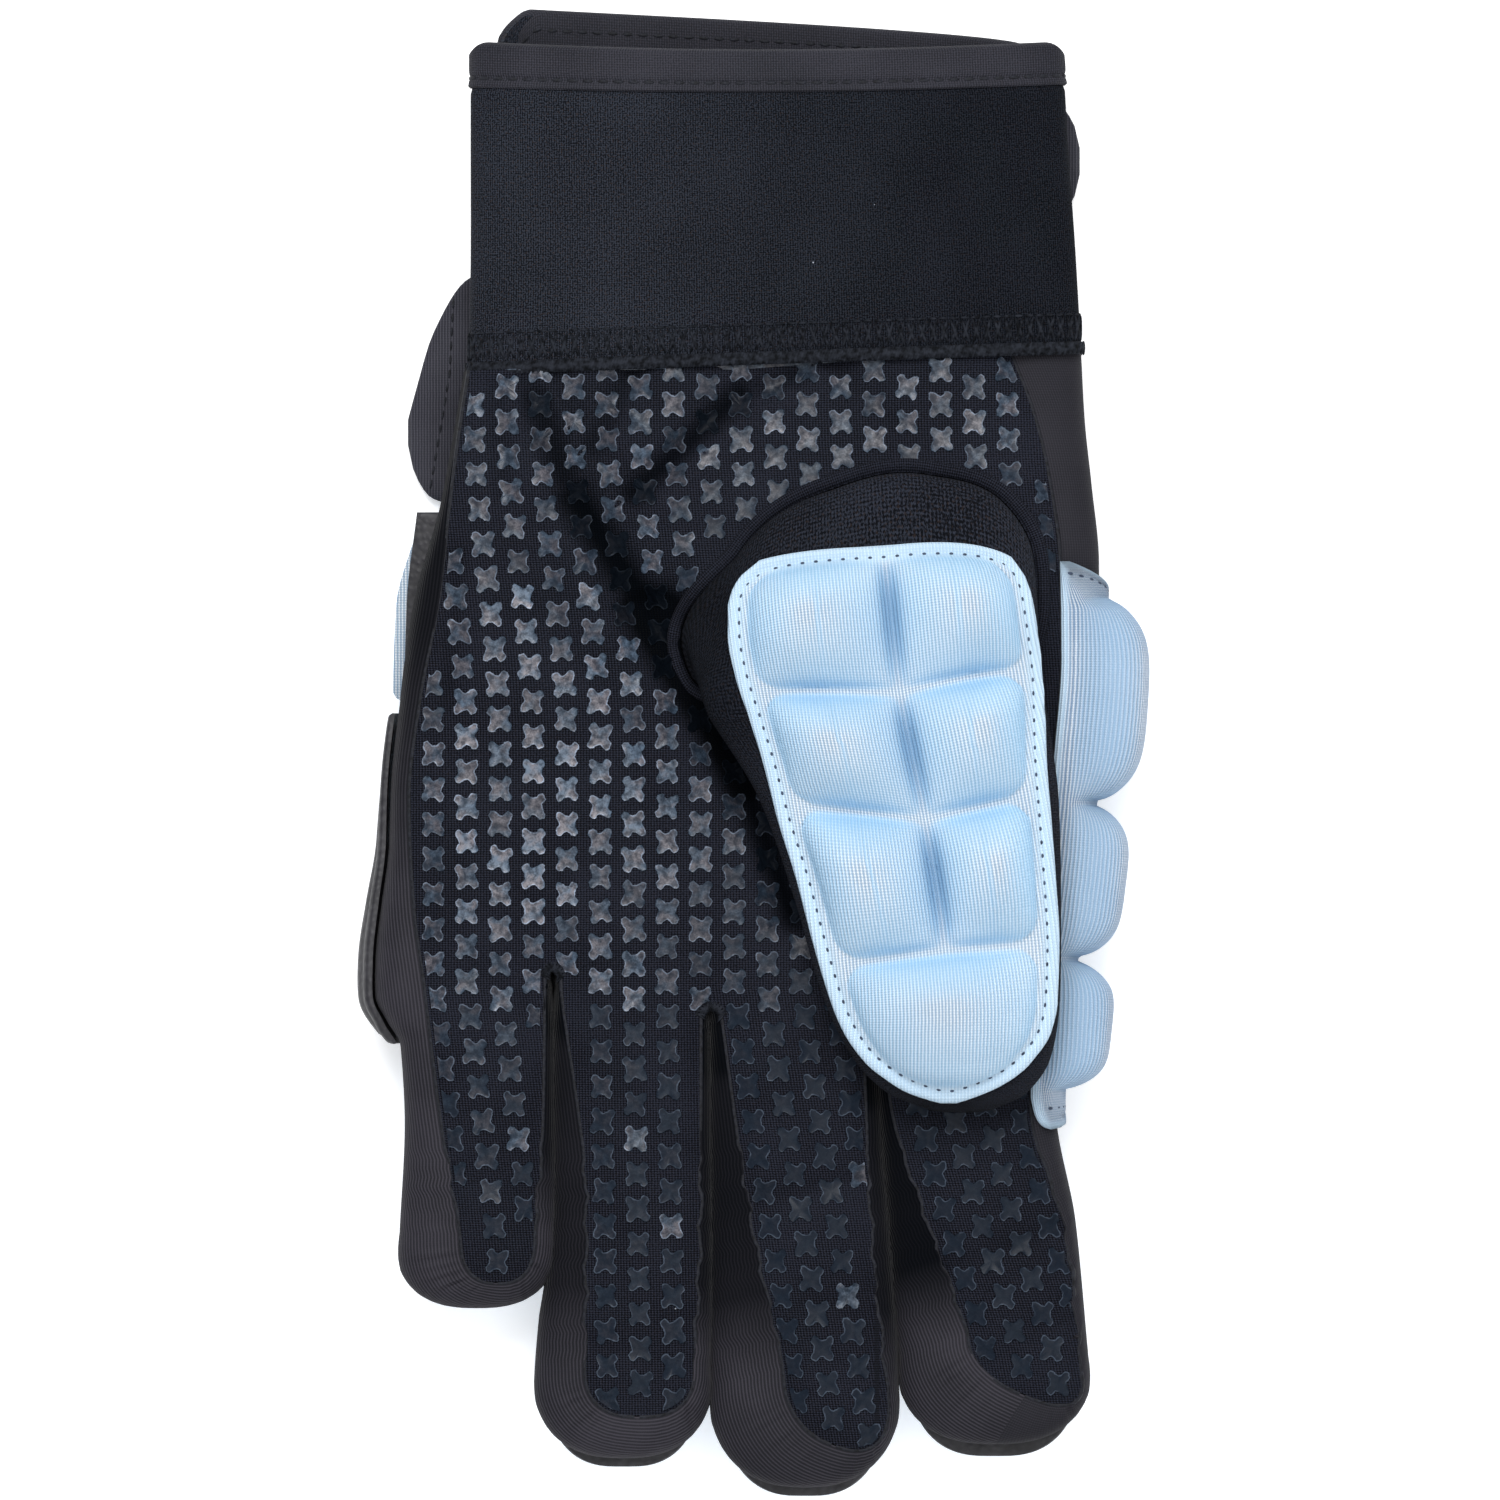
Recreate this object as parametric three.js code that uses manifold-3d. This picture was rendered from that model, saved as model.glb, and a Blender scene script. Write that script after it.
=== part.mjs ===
// Indoor hockey glove for the left hand, lying palm up with the thumb folded over the palm.
// Millimetres, +Z up. Fingers point along -Y, the cuff along +Y, the thumb side is +X.
// The origin is on the floor under the middle of the glove.
import * as THREE from 'three';
import Module from 'manifold-3d';

const wasm = await Module();
wasm.setup();

// Walls and clearances
const WALL = 1.6;
const CUFF_WALL = 2.8;
const FLANGE = 1.2;
const TAPE = 0.9;
const GAP = 0.3;
const WRAP_GAP = 0.6;
const END_GAP = 0.3;

// Faces of the faceted skin
const SIDE_STEPS = 4;
const LONG_SIDE_STEPS = 17;
const TIP_STEPS = 4;
const CROTCH_STEPS = 4;
const THUMB_SIDES = 14;
const CUFF_SIDES = 22;
const STATION = 9;
const stripAngles = [0, 30, 62, 90, 135, 180];
const bendAngles = [0, 7, 14, 22, 34, 52, 70];
const padShares = [0, 0.17, 0.27, 0.42, 0.6, 0.78, 0.92, 1];
const gripGrid = { left: -60, right: 57.5, columns: 16, root: 72, tip: -120, rows: 25, low: 8, high: 32 };
const backGrid = { left: -65, right: 65, rows: [72, 56, 49, 42, -128], low: 2, high: 16 };

// Heights above the floor of the hand shell, along the hand
const heights = [
  { y: 70, top: 20.4, bottom: 5.2 },
  { y: 56, top: 21.8, bottom: 6.4 },
  { y: 42, top: 23.2, bottom: 9.8 },
  { y: 20, top: 24.0, bottom: 9.8 },
  { y: -50, top: 24.0, bottom: 9.8 },
  { y: -100, top: 22.8, bottom: 9.8 },
  { y: -128, top: 21.4, bottom: 9.8 },
];
const EDGE_DROP = 2.6;
const EDGE_ROLL = 4;
const SIDE_SQUARE = 2.3;

// Side edges of the hand: the widest line and the seam of the grip panel
const littleEdge = [
  { y: 65, outer: -49.2, seam: -48.2 },
  { y: 53, outer: -51.2, seam: -50.0 },
  { y: 42, outer: -53.2, seam: -51.4 },
  { y: 26, outer: -57.6, seam: -53.2 },
  { y: 9, outer: -60.0, seam: -56.4 },
  { y: -8, outer: -61.2, seam: -58.3 },
  { y: -25, outer: -60.8, seam: -57.6 },
];
const indexEdge = [
  { y: 68.6, outer: 56.2, seam: 43.9 },
  { y: 57, outer: 56.8, seam: 48.2 },
  { y: 46, outer: 57.9, seam: 50.7 },
  { y: 32, outer: 59.2, seam: 52.4 },
  { y: 16, outer: 59.0, seam: 52.6 },
  { y: 0, outer: 58.0, seam: 51.4 },
  { y: -16, outer: 56.4, seam: 50.0 },
  { y: -32, outer: 54.4, seam: 48.4 },
];

// Fingers, seen from above: both outer edges and both edges of the grip panel.
// The seam of the panel ends short of the tip, on a slant of `skew` mm per mm.
const fingers = {
  little: {
    rows: [
      { y: -40, left: -60.0, right: -34.4, seamLeft: -55.7, seamRight: -36.2 },
      { y: -62, left: -58.9, right: -34.3, seamLeft: -53.0, seamRight: -36.0 },
      { y: -82, left: -60.0, right: -33.9, seamLeft: -49.6, seamRight: -37.0 },
    ],
    tip: { y: -94, seamY: -90.4, skew: 0, square: 2.6 },
    pad: { rootY: -50, tipY: -92.4 },
  },
  ring: {
    rows: [
      { y: -40, left: -33.3, right: -7.8, seamLeft: -31.6, seamRight: -9.6 },
      { y: -78, left: -33.2, right: -7.4, seamLeft: -27.8, seamRight: -9.0 },
      { y: -105, left: -36.6, right: -7.4, seamLeft: -28.4, seamRight: -9.9 },
    ],
    tip: { y: -119.6, seamY: -113.2, skew: 0, square: 2.5 },
    pad: { rootY: -56, tipY: -121.8 },
  },
  middle: {
    rows: [
      { y: -40, left: -6.8, right: 19.6, seamLeft: -4.8, seamRight: 17.6 },
      { y: -78, left: -6.5, right: 22.4, seamLeft: -0.4, seamRight: 19.6 },
      { y: -108, left: -6.6, right: 24.6, seamLeft: 5.4, seamRight: 23.2 },
    ],
    tip: { y: -124.6, seamY: -118.2, skew: -0.34, square: 2.4 },
    pad: { rootY: -60, tipY: -127.2 },
  },
  index: {
    rows: [
      { y: -40, left: 20.8, right: 53.4, seamLeft: 22.6, seamRight: 47.6 },
      { y: -60, left: 22.2, right: 51.8, seamLeft: 24.0, seamRight: 47.4 },
      { y: -80, left: 23.9, right: 55.2, seamLeft: 29.2, seamRight: 53.4 },
      { y: -103, left: 25.5, right: 57.4, seamLeft: 36.8, seamRight: 56.2 },
    ],
    tip: { y: -117.2, seamY: -109.6, skew: -0.42, square: 2.5 },
    pad: { rootY: -64, tipY: -120.0 },
  },
};
const crotches = [
  { from: 'little', to: 'ring', y: -38, seamRise: 3 },
  { from: 'ring', to: 'middle', y: -44.7, seamRise: 3 },
  { from: 'middle', to: 'index', y: -50, seamRise: 3 },
];
const BACK_INSET = 4;

// Folds of the grip panel: valleys are negative
const folds = [
  { x0: -30, y0: 54, x1: -25, y1: 33, rise: -1.4, width: 4.0 },
  { x0: -25, y0: 33, x1: -14, y1: 17, rise: -2.8, width: 4.6 },
  { x0: -14, y0: 17, x1: -4, y1: -8, rise: -2.2, width: 4.4 },
  { x0: -4, y0: 60, x1: -17, y1: 41, rise: -1.2, width: 3.4 },
  { x0: -20, y0: 50, x1: -12, y1: 34, rise: 0.9, width: 4.0 },
];

// Thumb: an oval root in the grip panel, a bend about the crease, then flat along the palm
const thumbRoot = { x: 18.4, halfWidth: 29.8, start: 2, reach: 42.2, lead: 2.4 };
const thumbCrease = { y: 6, z: 24.2, height: 13.0, square: 2.3 };
const THUMB_SQUARE = 2.6;
const TOP_REACH = 0.97;
const thumbRows = [
  { y: 6, x: 20.2, halfWidth: 30.6, low: 0.5, high: 13.0 },
  { y: -8, x: 26.6, halfWidth: 25.4, low: 0.5, high: 13.0 },
  { y: -25, x: 30.2, halfWidth: 22.2, low: 0.5, high: 12.6 },
  { y: -42, x: 32.6, halfWidth: 19.6, low: 0.5, high: 12.0 },
  { y: -52, x: 34.2, halfWidth: 16.4, low: 0.8, high: 11.2 },
  { y: -58, x: 35.0, halfWidth: 11.4, low: 1.8, high: 9.6 },
  { y: -60.6, x: 35.4, halfWidth: 5.6, low: 3.4, high: 7.6 },
];

// Thumb pad: outline, line of the centre channel, and lift of the rows to each side
const thumbPadRows = [
  { y: 35.4, left: 6.5, centre: 22.8, right: 42.0, liftLeft: 0.02, liftRight: 0.06 },
  { y: 32.0, left: -1.2, centre: 23.0, right: 46.8, liftLeft: 0.02, liftRight: 0.06 },
  { y: 27.0, left: -3.2, centre: 23.4, right: 47.6, liftLeft: 0.02, liftRight: 0.1 },
  { y: 10.2, left: 0.6, centre: 25.2, right: 48.9, liftLeft: 0.0, liftRight: 0.18 },
  { y: -10.2, left: 5.7, centre: 28.6, right: 50.9, liftLeft: 0.03, liftRight: 0.13 },
  { y: -33.2, left: 12.0, centre: 33.3, right: 52.0, liftLeft: -0.12, liftRight: 0.03 },
  { y: -45.0, left: 15.8, centre: 34.4, right: 51.5, liftLeft: -0.04, liftRight: 0.0 },
  { y: -53.0, left: 21.2, centre: 35.2, right: 48.4, liftLeft: 0.0, liftRight: 0.0 },
  { y: -58.4, left: 29.6, centre: 35.6, right: 41.4, liftLeft: 0.0, liftRight: 0.0 },
];
const thumbLumps = [
  { from: 32.4, to: 10.6, split: true, height: 7.4 },
  { from: 9.8, to: -9.8, split: true, height: 7.4 },
  { from: -10.6, to: -32.8, split: true, height: 7.2 },
  { from: -33.6, to: -55.4, split: false, height: 6.6 },
];
const THUMB_MARGIN = 3.0;
const MARGIN_SHARE = 0.4;
const HALF_CHANNEL = 0.4;

// Pads wrapped round the sides of the hand, in degrees round the side from the palm seam
const indexPad = {
  rows: [
    { y: 31.5, from: 20, to: 70 },
    { y: 28.5, from: 4, to: 130 },
    { y: 24.5, from: 0, to: 160 },
    { y: -54.0, from: 0, to: 160 },
    { y: -59.0, from: 4, to: 120 },
    { y: -63.5, from: 20, to: 70 },
  ],
  lumps: [
    { from: 26.4, to: -8.0, height: 7.2 },
    { from: -8.8, to: -34.4, height: 6.6 },
    { from: -35.2, to: -57.0, height: 6.6 },
  ],
  lowAngle: 26,
  highAngle: 156,
  rollAngle: 34,
};
const littlePad = {
  rows: [
    { y: 6.5, from: 80, to: 130 },
    { y: 2.5, from: 68, to: 156 },
    { y: -44.0, from: 68, to: 156 },
    { y: -49.5, from: 80, to: 130 },
  ],
  lumps: [{ from: 6.0, to: -49.0, height: 4.7 }],
  lowAngle: 70,
  highAngle: 154,
  rollAngle: 30,
};

// Padding on the back of the hand, which carries the glove
const backPadRows = [
  { y: 38.0, left: -57.0, right: 38.5 },
  { y: 34.7, left: -58.4, right: 42.0 },
  { y: 25.0, left: -60.9, right: 43.0 },
  { y: 10.0, left: -61.4, right: 43.0 },
  { y: 6.0, left: -56.0, right: 43.0 },
  { y: -38.0, left: -54.2, right: 41.0 },
  { y: -42.0, left: -51.0, right: 38.0 },
];
const backBaseRows = [
  { y: 41.0, left: -57.3, right: 41.0 },
  { y: 26.0, left: -59.0, right: 45.0 },
  { y: 11.0, left: -59.4, right: 45.0 },
  { y: 6.5, left: -55.0, right: 45.0 },
  { y: -40.0, left: -54.0, right: 43.0 },
  { y: -45.0, left: -50.0, right: 40.0 },
];
const backLumpRows = [
  { from: 36.2, to: 9.6 },
  { from: 8.4, to: -15.6 },
  { from: -16.8, to: -40.4 },
];
const backLumpColumns = [
  { from: 0.02, to: 0.325 },
  { from: 0.34, to: 0.66 },
  { from: 0.675, to: 0.98 },
];
const BASE_TOP = 9.5;
const BASE_THICKNESS = 2.1;
const LIP_THICKNESS = 1.5;
const LIP_INSET = 4.4;
const PAD_INSET = 0.7;
const FINGER_LUMPS = 3;
const PAD_MARGIN = 1.2;
const CHANNEL = 1.2;
const PRESS = 1.35;
const LUMP_ROLL = 6;
const FINGER_ROLL = 5;
const BEND_SHARE = 0.35;
const fingerLumpWidth = { from: 0.07, to: 0.93 };
const padRounding = [
  { from: 0, width: 0.6 },
  { from: 2.4, width: 0.86 },
  { from: 6, width: 1 },
];

// Cuff, its bound edge and the wrist strap under it
const CUFF_ROOT = 67.7;
const CUFF_TOP = 121.2;
const CUFF_SLANT = 0.035;
const CUFF_SQUARE = 2.8;
const cuffRows = [
  { up: 0, x: 3.9, halfWidth: 52.5, low: 3.7, high: 22.2 },
  { up: 0.3, x: 3.6, halfWidth: 51.9, low: 3.7, high: 22.4 },
  { up: 0.7, x: 2.9, halfWidth: 51.2, low: 3.7, high: 21.4 },
  { up: 1, x: 2.5, halfWidth: 50.8, low: 3.7, high: 20.2 },
];
const backEdge = { left: -48, peak: -39, right: 32, height: 5.7 };
const BINDING_DEPTH = 9.2;
const STRAP_ROUND = 0.06;
const strapRows = [
  { x: -59.0, top: 57.0, bottom: 52.6, height: 1.6 },
  { x: -57.8, top: 61.4, bottom: 47.6, height: 2.8 },
  { x: -54.7, top: 71.7, bottom: 43.4, height: 3.2 },
  { x: -48.8, top: 81.0, bottom: 42.0, height: 3.2 },
  { x: -20.0, top: 92.0, bottom: 52.0, height: 3.2 },
  { x: 20.0, top: 103.0, bottom: 72.0, height: 3.2 },
  { x: 45.0, top: 109.4, bottom: 87.0, height: 3.2 },
  { x: 52.6, top: 110.8, bottom: 91.4, height: 3.2 },
  { x: 55.2, top: 107.6, bottom: 95.0, height: 2.8 },
  { x: 56.2, top: 103.6, bottom: 99.0, height: 1.8 },
];

// Finishes
const finishes = {
  grip: { color: 0x14161e, roughness: 0.85 },
  lycra: { color: 0x232227, roughness: 0.8 },
  thumbMesh: { color: 0x121418, roughness: 0.95 },
  foamPad: { color: 0xa9cdea, roughness: 0.8 },
  leather: { color: 0x26252a, roughness: 0.6 },
  neoprene: { color: 0x0f1218, roughness: 0.85 },
  binding: { color: 0x1b1b20, roughness: 0.75 },
};

const lerp = THREE.MathUtils.lerp;
const clamp = THREE.MathUtils.clamp;
const sine = (degrees) => Math.sin(THREE.MathUtils.degToRad(degrees));
const cosine = (degrees) => Math.cos(THREE.MathUtils.degToRad(degrees));
const power = (value, square) => Math.sign(value) * Math.abs(value) ** (2 / square);
const steps = (count) => Array.from({ length: count + 1 }, (_, i) => i / count);
const plan = (x, y) => new THREE.Vector2(x, y);
const point = (x, y, z) => new THREE.Vector3(x, y, z);

// A column of a table at a place along it, as a smooth curve through its rows
function at(rows, key, place, column) {
  const last = rows.length - 1;
  const rising = rows[last][key] > rows[0][key];
  let i = 0;
  while (i < last - 1 && (rising ? place > rows[i + 1][key] : place < rows[i + 1][key])) i += 1;
  const span = rows[i + 1][key] - rows[i][key];
  const secant = (k) => (rows[k + 1][column] - rows[k][column]) / (rows[k + 1][key] - rows[k][key]);
  const between = (a, b) => (a * b <= 0 ? 0 : (2 * a * b) / (a + b));
  const start = i > 0 ? between(secant(i - 1), secant(i)) : secant(i);
  const end = i < last - 1 ? between(secant(i), secant(i + 1)) : secant(i);
  const t = clamp((place - rows[i][key]) / span, 0, 1);
  return (1 + 2 * t) * (1 - t) ** 2 * rows[i][column] + t * (1 - t) ** 2 * span * start
    + t ** 2 * (3 - 2 * t) * rows[i + 1][column] - t ** 2 * (1 - t) * span * end;
}

// Closed bodies

function quadsOf(list) {
  return list.flatMap(([a, b, c, d]) => [a, b, c, a, c, d]);
}

function geometryOf(points, triangles) {
  let volume = 0;
  for (let i = 0; i < triangles.length; i += 3) {
    const [a, b, c] = [points[triangles[i]], points[triangles[i + 1]], points[triangles[i + 2]]];
    volume += a.dot(b.clone().cross(c));
  }
  if (volume < 0) triangles.reverse();
  const geometry = new THREE.BufferGeometry();
  const places = points.flatMap((p) => [p.x, p.y, p.z]);
  geometry.setAttribute('position', new THREE.Float32BufferAttribute(places, 3));
  geometry.setIndex(triangles);
  return geometry;
}

// The wall between two sheets of points with the same rows and columns
function wallBetween(outer, inner, loop = false) {
  const rows = outer.length;
  const columns = outer[0].length;
  const out = (i, j) => i * columns + (j % columns);
  const into = (i, j) => rows * columns + out(i, j);
  const quads = [];
  for (let j = 0; j < (loop ? columns : columns - 1); j += 1) {
    for (let i = 0; i < rows - 1; i += 1) {
      quads.push([out(i, j), out(i + 1, j), out(i + 1, j + 1), out(i, j + 1)]);
      quads.push([into(i, j), into(i, j + 1), into(i + 1, j + 1), into(i + 1, j)]);
    }
    quads.push([out(0, j), out(0, j + 1), into(0, j + 1), into(0, j)]);
    quads.push([out(rows - 1, j), into(rows - 1, j), into(rows - 1, j + 1), out(rows - 1, j + 1)]);
  }
  const end = columns - 1;
  for (let i = 0; i < rows - 1 && !loop; i += 1) {
    quads.push([out(i, 0), into(i, 0), into(i + 1, 0), out(i + 1, 0)]);
    quads.push([out(i, end), out(i + 1, end), into(i + 1, end), into(i, end)]);
  }
  return geometryOf([...outer.flat(), ...inner.flat()], quadsOf(quads));
}

// A skin over closed sections, with flat ends or joined end to end
function loft(sections, joined = false) {
  const rows = sections.length;
  const columns = sections[0].length;
  const index = (i, j) => (i % rows) * columns + (j % columns);
  const quads = [];
  for (let i = 0; i < (joined ? rows : rows - 1); i += 1) {
    for (let j = 0; j < columns; j += 1) {
      quads.push([index(i, j), index(i + 1, j), index(i + 1, j + 1), index(i, j + 1)]);
    }
  }
  const triangles = quadsOf(quads);
  for (let j = 1; j < columns - 1 && !joined; j += 1) {
    triangles.push(index(0, 0), index(0, j), index(0, j + 1));
    triangles.push(index(rows - 1, 0), index(rows - 1, j + 1), index(rows - 1, j));
  }
  return geometryOf(sections.flat(), triangles);
}

// The corners of a ring, without the points that lie on a straight run
function corners(ring) {
  return ring.filter((p, i) => {
    const [before, after] = [ring.at(i - 1), ring[(i + 1) % ring.length]];
    return Math.abs(p.clone().sub(before).cross(after.clone().sub(p))) > 1e-4;
  });
}

// A straight-sided block over an outline seen from above, with an optional hole
function prism(outline, low, high, hole) {
  const turned = (ring, clockwise) => (
    THREE.ShapeUtils.isClockWise(ring) === clockwise ? corners(ring) : corners(ring).reverse());
  const contour = turned(outline, false);
  const holes = hole ? [turned(hole, true)] : [];
  const rings = [contour, ...holes];
  const all = rings.flat();
  const points = [low, high].flatMap((z) => all.map((p) => point(p.x, p.y, z)));
  const lid = all.length;
  const triangles = THREE.ShapeUtils.triangulateShape(contour, holes)
    .flatMap(([a, b, c]) => [a, c, b, a + lid, b + lid, c + lid]);
  let first = 0;
  rings.forEach((ring) => {
    ring.forEach((_, i) => {
      const [a, b] = [first + i, first + ((i + 1) % ring.length)];
      triangles.push(...quadsOf([[a, b, b + lid, a + lid]]));
    });
    first += ring.length;
  });
  return geometryOf(points, triangles);
}

function solidOf(geometry) {
  return new wasm.Manifold(new wasm.Mesh({
    numProp: 3,
    vertProperties: Float32Array.from(geometry.attributes.position.array),
    triVerts: Uint32Array.from(geometry.index.array),
  }));
}

function geometryOfSolid(solid) {
  const mesh = solid.getMesh();
  const geometry = new THREE.BufferGeometry();
  geometry.setAttribute('position', new THREE.Float32BufferAttribute(mesh.vertProperties, 3));
  geometry.setIndex([...mesh.triVerts]);
  return geometry;
}

// Outline of the hand, in sets of three points: the widest line and the palm and back seams beside it

const littleRows = fingers.little.rows.map((row) => ({ y: row.y, outer: row.left, seam: row.seamLeft }));
const indexRows = fingers.index.rows.map((row) => ({ y: row.y, outer: row.right, seam: row.seamRight }));
const sideTables = {
  little: { left: [...littleEdge, ...littleRows] },
  index: { right: [...indexEdge, ...indexRows] },
};

function edgeAt(name, side, y) {
  const table = sideTables[name]?.[side];
  if (table) return { outer: at(table, 'y', y, 'outer'), seam: at(table, 'y', y, 'seam') };
  const { rows } = fingers[name];
  const seamColumn = side === 'left' ? 'seamLeft' : 'seamRight';
  return { outer: at(rows, 'y', y, side), seam: at(rows, 'y', y, seamColumn) };
}

function sidePair(name, side, y) {
  const { rows, tip } = fingers[name];
  const tipStart = rows[rows.length - 1].y;
  const edge = edgeAt(name, side, y);
  const slant = clamp((rows[0].y - y) / (rows[0].y - tipStart), 0, 1) ** 2;
  const middle = (at(rows, 'y', y, 'seamLeft') + at(rows, 'y', y, 'seamRight')) / 2;
  const seamY = y + tip.skew * slant * (edge.seam - middle);
  const back = plan(edge.outer + (side === 'left' ? BACK_INSET : -BACK_INSET), y);
  return { outer: plan(edge.outer, y), seam: plan(edge.seam, seamY), back };
}

// Half a fingertip, from its side (0) to just short of its middle (1)
function tipPair(name, side, turn) {
  const { rows, tip } = fingers[name];
  const { y, left, right, seamLeft, seamRight } = rows[rows.length - 1];
  const way = side === 'left' ? -1 : 1;
  const across = power(cosine(90 * turn), tip.square);
  const down = power(sine(90 * turn), tip.square);
  const gap = turn === 1 ? END_GAP * way : 0;
  const ring = (inset) => plan(
    (left + right) / 2 + way * across * ((right - left) / 2 - inset) + gap,
    y - down * (y - tip.y - inset),
  );
  const seamHalf = way * across * (seamRight - seamLeft) / 2;
  const seamX = (seamLeft + seamRight) / 2 + seamHalf + gap;
  const seam = plan(seamX, y + tip.skew * seamHalf - down * (y - tip.seamY));
  return { outer: ring(0), seam, back: ring(BACK_INSET) };
}

function sidePath(name, side, fromY, count) {
  const toY = fingers[name].rows.at(-1).y;
  return steps(count).map((t) => sidePair(name, side, lerp(fromY, toY, t)));
}

function tipPath(name, side, count) {
  return steps(count).slice(1).map((t) => tipPair(name, side, t));
}

function crotchPath({ from, to, y, seamRise }, count) {
  const a = sidePair(from, 'right', y);
  const b = sidePair(to, 'left', y);
  const arc = (p, q, rise, t) => plan(
    lerp(p.x, q.x, (1 - cosine(180 * t)) / 2),
    lerp(p.y, q.y, t) + rise * sine(180 * t),
  );
  const halfGap = (b.outer.x - a.outer.x) / 2;
  return steps(count).slice(1, -1).map((t) => ({
    outer: arc(a.outer, b.outer, halfGap, t),
    seam: arc(a.seam, b.seam, seamRise, t),
    back: arc(a.back, b.back, BACK_INSET, t),
  }));
}

const strips = [
  {
    name: 'side_wall_little',
    path: [
      ...sidePath('little', 'left', littleEdge[0].y, LONG_SIDE_STEPS),
      ...tipPath('little', 'left', TIP_STEPS),
    ],
  },
  ...crotches.map((crotch) => ({
    name: `fourchette_${crotch.from}_${crotch.to}`,
    path: [
      ...tipPath(crotch.from, 'right', TIP_STEPS).reverse(),
      ...sidePath(crotch.from, 'right', crotch.y, SIDE_STEPS).reverse(),
      ...crotchPath(crotch, CROTCH_STEPS),
      ...sidePath(crotch.to, 'left', crotch.y, SIDE_STEPS),
      ...tipPath(crotch.to, 'left', TIP_STEPS),
    ],
  })),
  {
    name: 'side_wall_index',
    path: [
      ...tipPath('index', 'right', TIP_STEPS).reverse(),
      ...sidePath('index', 'right', indexEdge[0].y, LONG_SIDE_STEPS).reverse(),
    ],
  },
];

const inward = (from, to) => to.clone().sub(from).normalize();
const seamLine = strips.flatMap((strip) => strip.path.map((pair) => pair.seam));
const gripOutline = strips.flatMap((strip) => strip.path.map((pair) => (
  pair.seam.clone().addScaledVector(inward(pair.outer, pair.seam), GAP))));
const backOutline = strips.flatMap((strip) => strip.path.map((pair) => (
  pair.back.clone().addScaledVector(inward(pair.outer, pair.back), GAP))));

// Height of the palm side of the hand

function distanceToSeam(x, y) {
  const here = point(x, y, 0);
  const nearest = point(0, 0, 0);
  let best = Infinity;
  for (let i = 1; i < seamLine.length; i += 1) {
    const [from, to] = [seamLine[i - 1], seamLine[i]];
    const line = new THREE.Line3(point(from.x, from.y, 0), point(to.x, to.y, 0));
    line.closestPointToPoint(here, true, nearest);
    best = Math.min(best, nearest.distanceTo(here));
  }
  return best;
}

function foldHeight(x, y) {
  const rises = folds.map(({ x0, y0, x1, y1, rise, width }) => {
    const line = new THREE.Line3(point(x0, y0, 0), point(x1, y1, 0));
    const nearest = line.closestPointToPoint(point(x, y, 0), true, point(0, 0, 0));
    return rise * Math.exp(-((nearest.distanceTo(point(x, y, 0)) / width) ** 2));
  });
  return Math.min(0, ...rises) + Math.max(0, ...rises);
}

function palmHeight(x, y) {
  const edge = EDGE_DROP * Math.exp(-distanceToSeam(x, y) / EDGE_ROLL);
  return at(heights, 'y', y, 'top') - edge + foldHeight(x, y);
}

const backHeight = (y) => at(heights, 'y', y, 'bottom');

// Side fabric: a strip that rolls from the palm seam round to the back seam

function rollPoint(pair, angle, inset) {
  const top = at(heights, 'y', pair.seam.y, 'top') - EDGE_DROP;
  const bottom = backHeight(pair.outer.y);
  const middle = (top + bottom) / 2;
  const seam = angle <= 90 ? pair.seam : pair.back;
  const widest = pair.outer.clone().addScaledVector(inward(pair.outer, pair.back), inset);
  const flat = seam.clone().lerp(widest, power(sine(angle), SIDE_SQUARE));
  const reach = (top - bottom) / 2 - inset;
  return point(flat.x, flat.y, middle + reach * power(cosine(angle), SIDE_SQUARE));
}

function stripBody({ path }) {
  const sheet = (inset) => path.map((pair) => stripAngles.map((angle) => rollPoint(pair, angle, inset)));
  return wallBetween(sheet(0), sheet(WALL));
}

// Grip panel and back panel: sheets trimmed to their outlines

function sheetBlock(xs, ys, low, high) {
  const sheet = (height) => ys.map((y) => xs.map((x) => point(x, y, height(x, y))));
  return wallBetween(sheet(high), sheet(low));
}

const holeCentreY = thumbCrease.y + (thumbRoot.start + thumbRoot.reach) / 2;
const holeHalfLength = (thumbRoot.reach - thumbRoot.start) / 2;

function gripPanel() {
  const xs = steps(gripGrid.columns).map((t) => lerp(gripGrid.left, gripGrid.right, t));
  const ys = steps(gripGrid.rows).map((t) => lerp(gripGrid.root, gripGrid.tip, t));
  const slab = sheetBlock(xs, ys, (x, y) => palmHeight(x, y) - WALL, palmHeight);
  const hole = steps(THUMB_SIDES).slice(1).map((t) => plan(
    thumbRoot.x + (thumbRoot.halfWidth + GAP) * power(cosine(360 * t), THUMB_SQUARE),
    holeCentreY + (holeHalfLength + GAP) * power(sine(360 * t), THUMB_SQUARE),
  ));
  const trim = prism(gripOutline, gripGrid.low, gripGrid.high, hole);
  return geometryOfSolid(solidOf(slab).intersect(solidOf(trim)));
}

function backPanel() {
  const { left, right, rows, low, high } = backGrid;
  const slab = sheetBlock([left, right], rows, (x, y) => backHeight(y), (x, y) => backHeight(y) + WALL);
  return geometryOfSolid(solidOf(slab).intersect(solidOf(prism(backOutline, low, high))));
}

// Thumb

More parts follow.
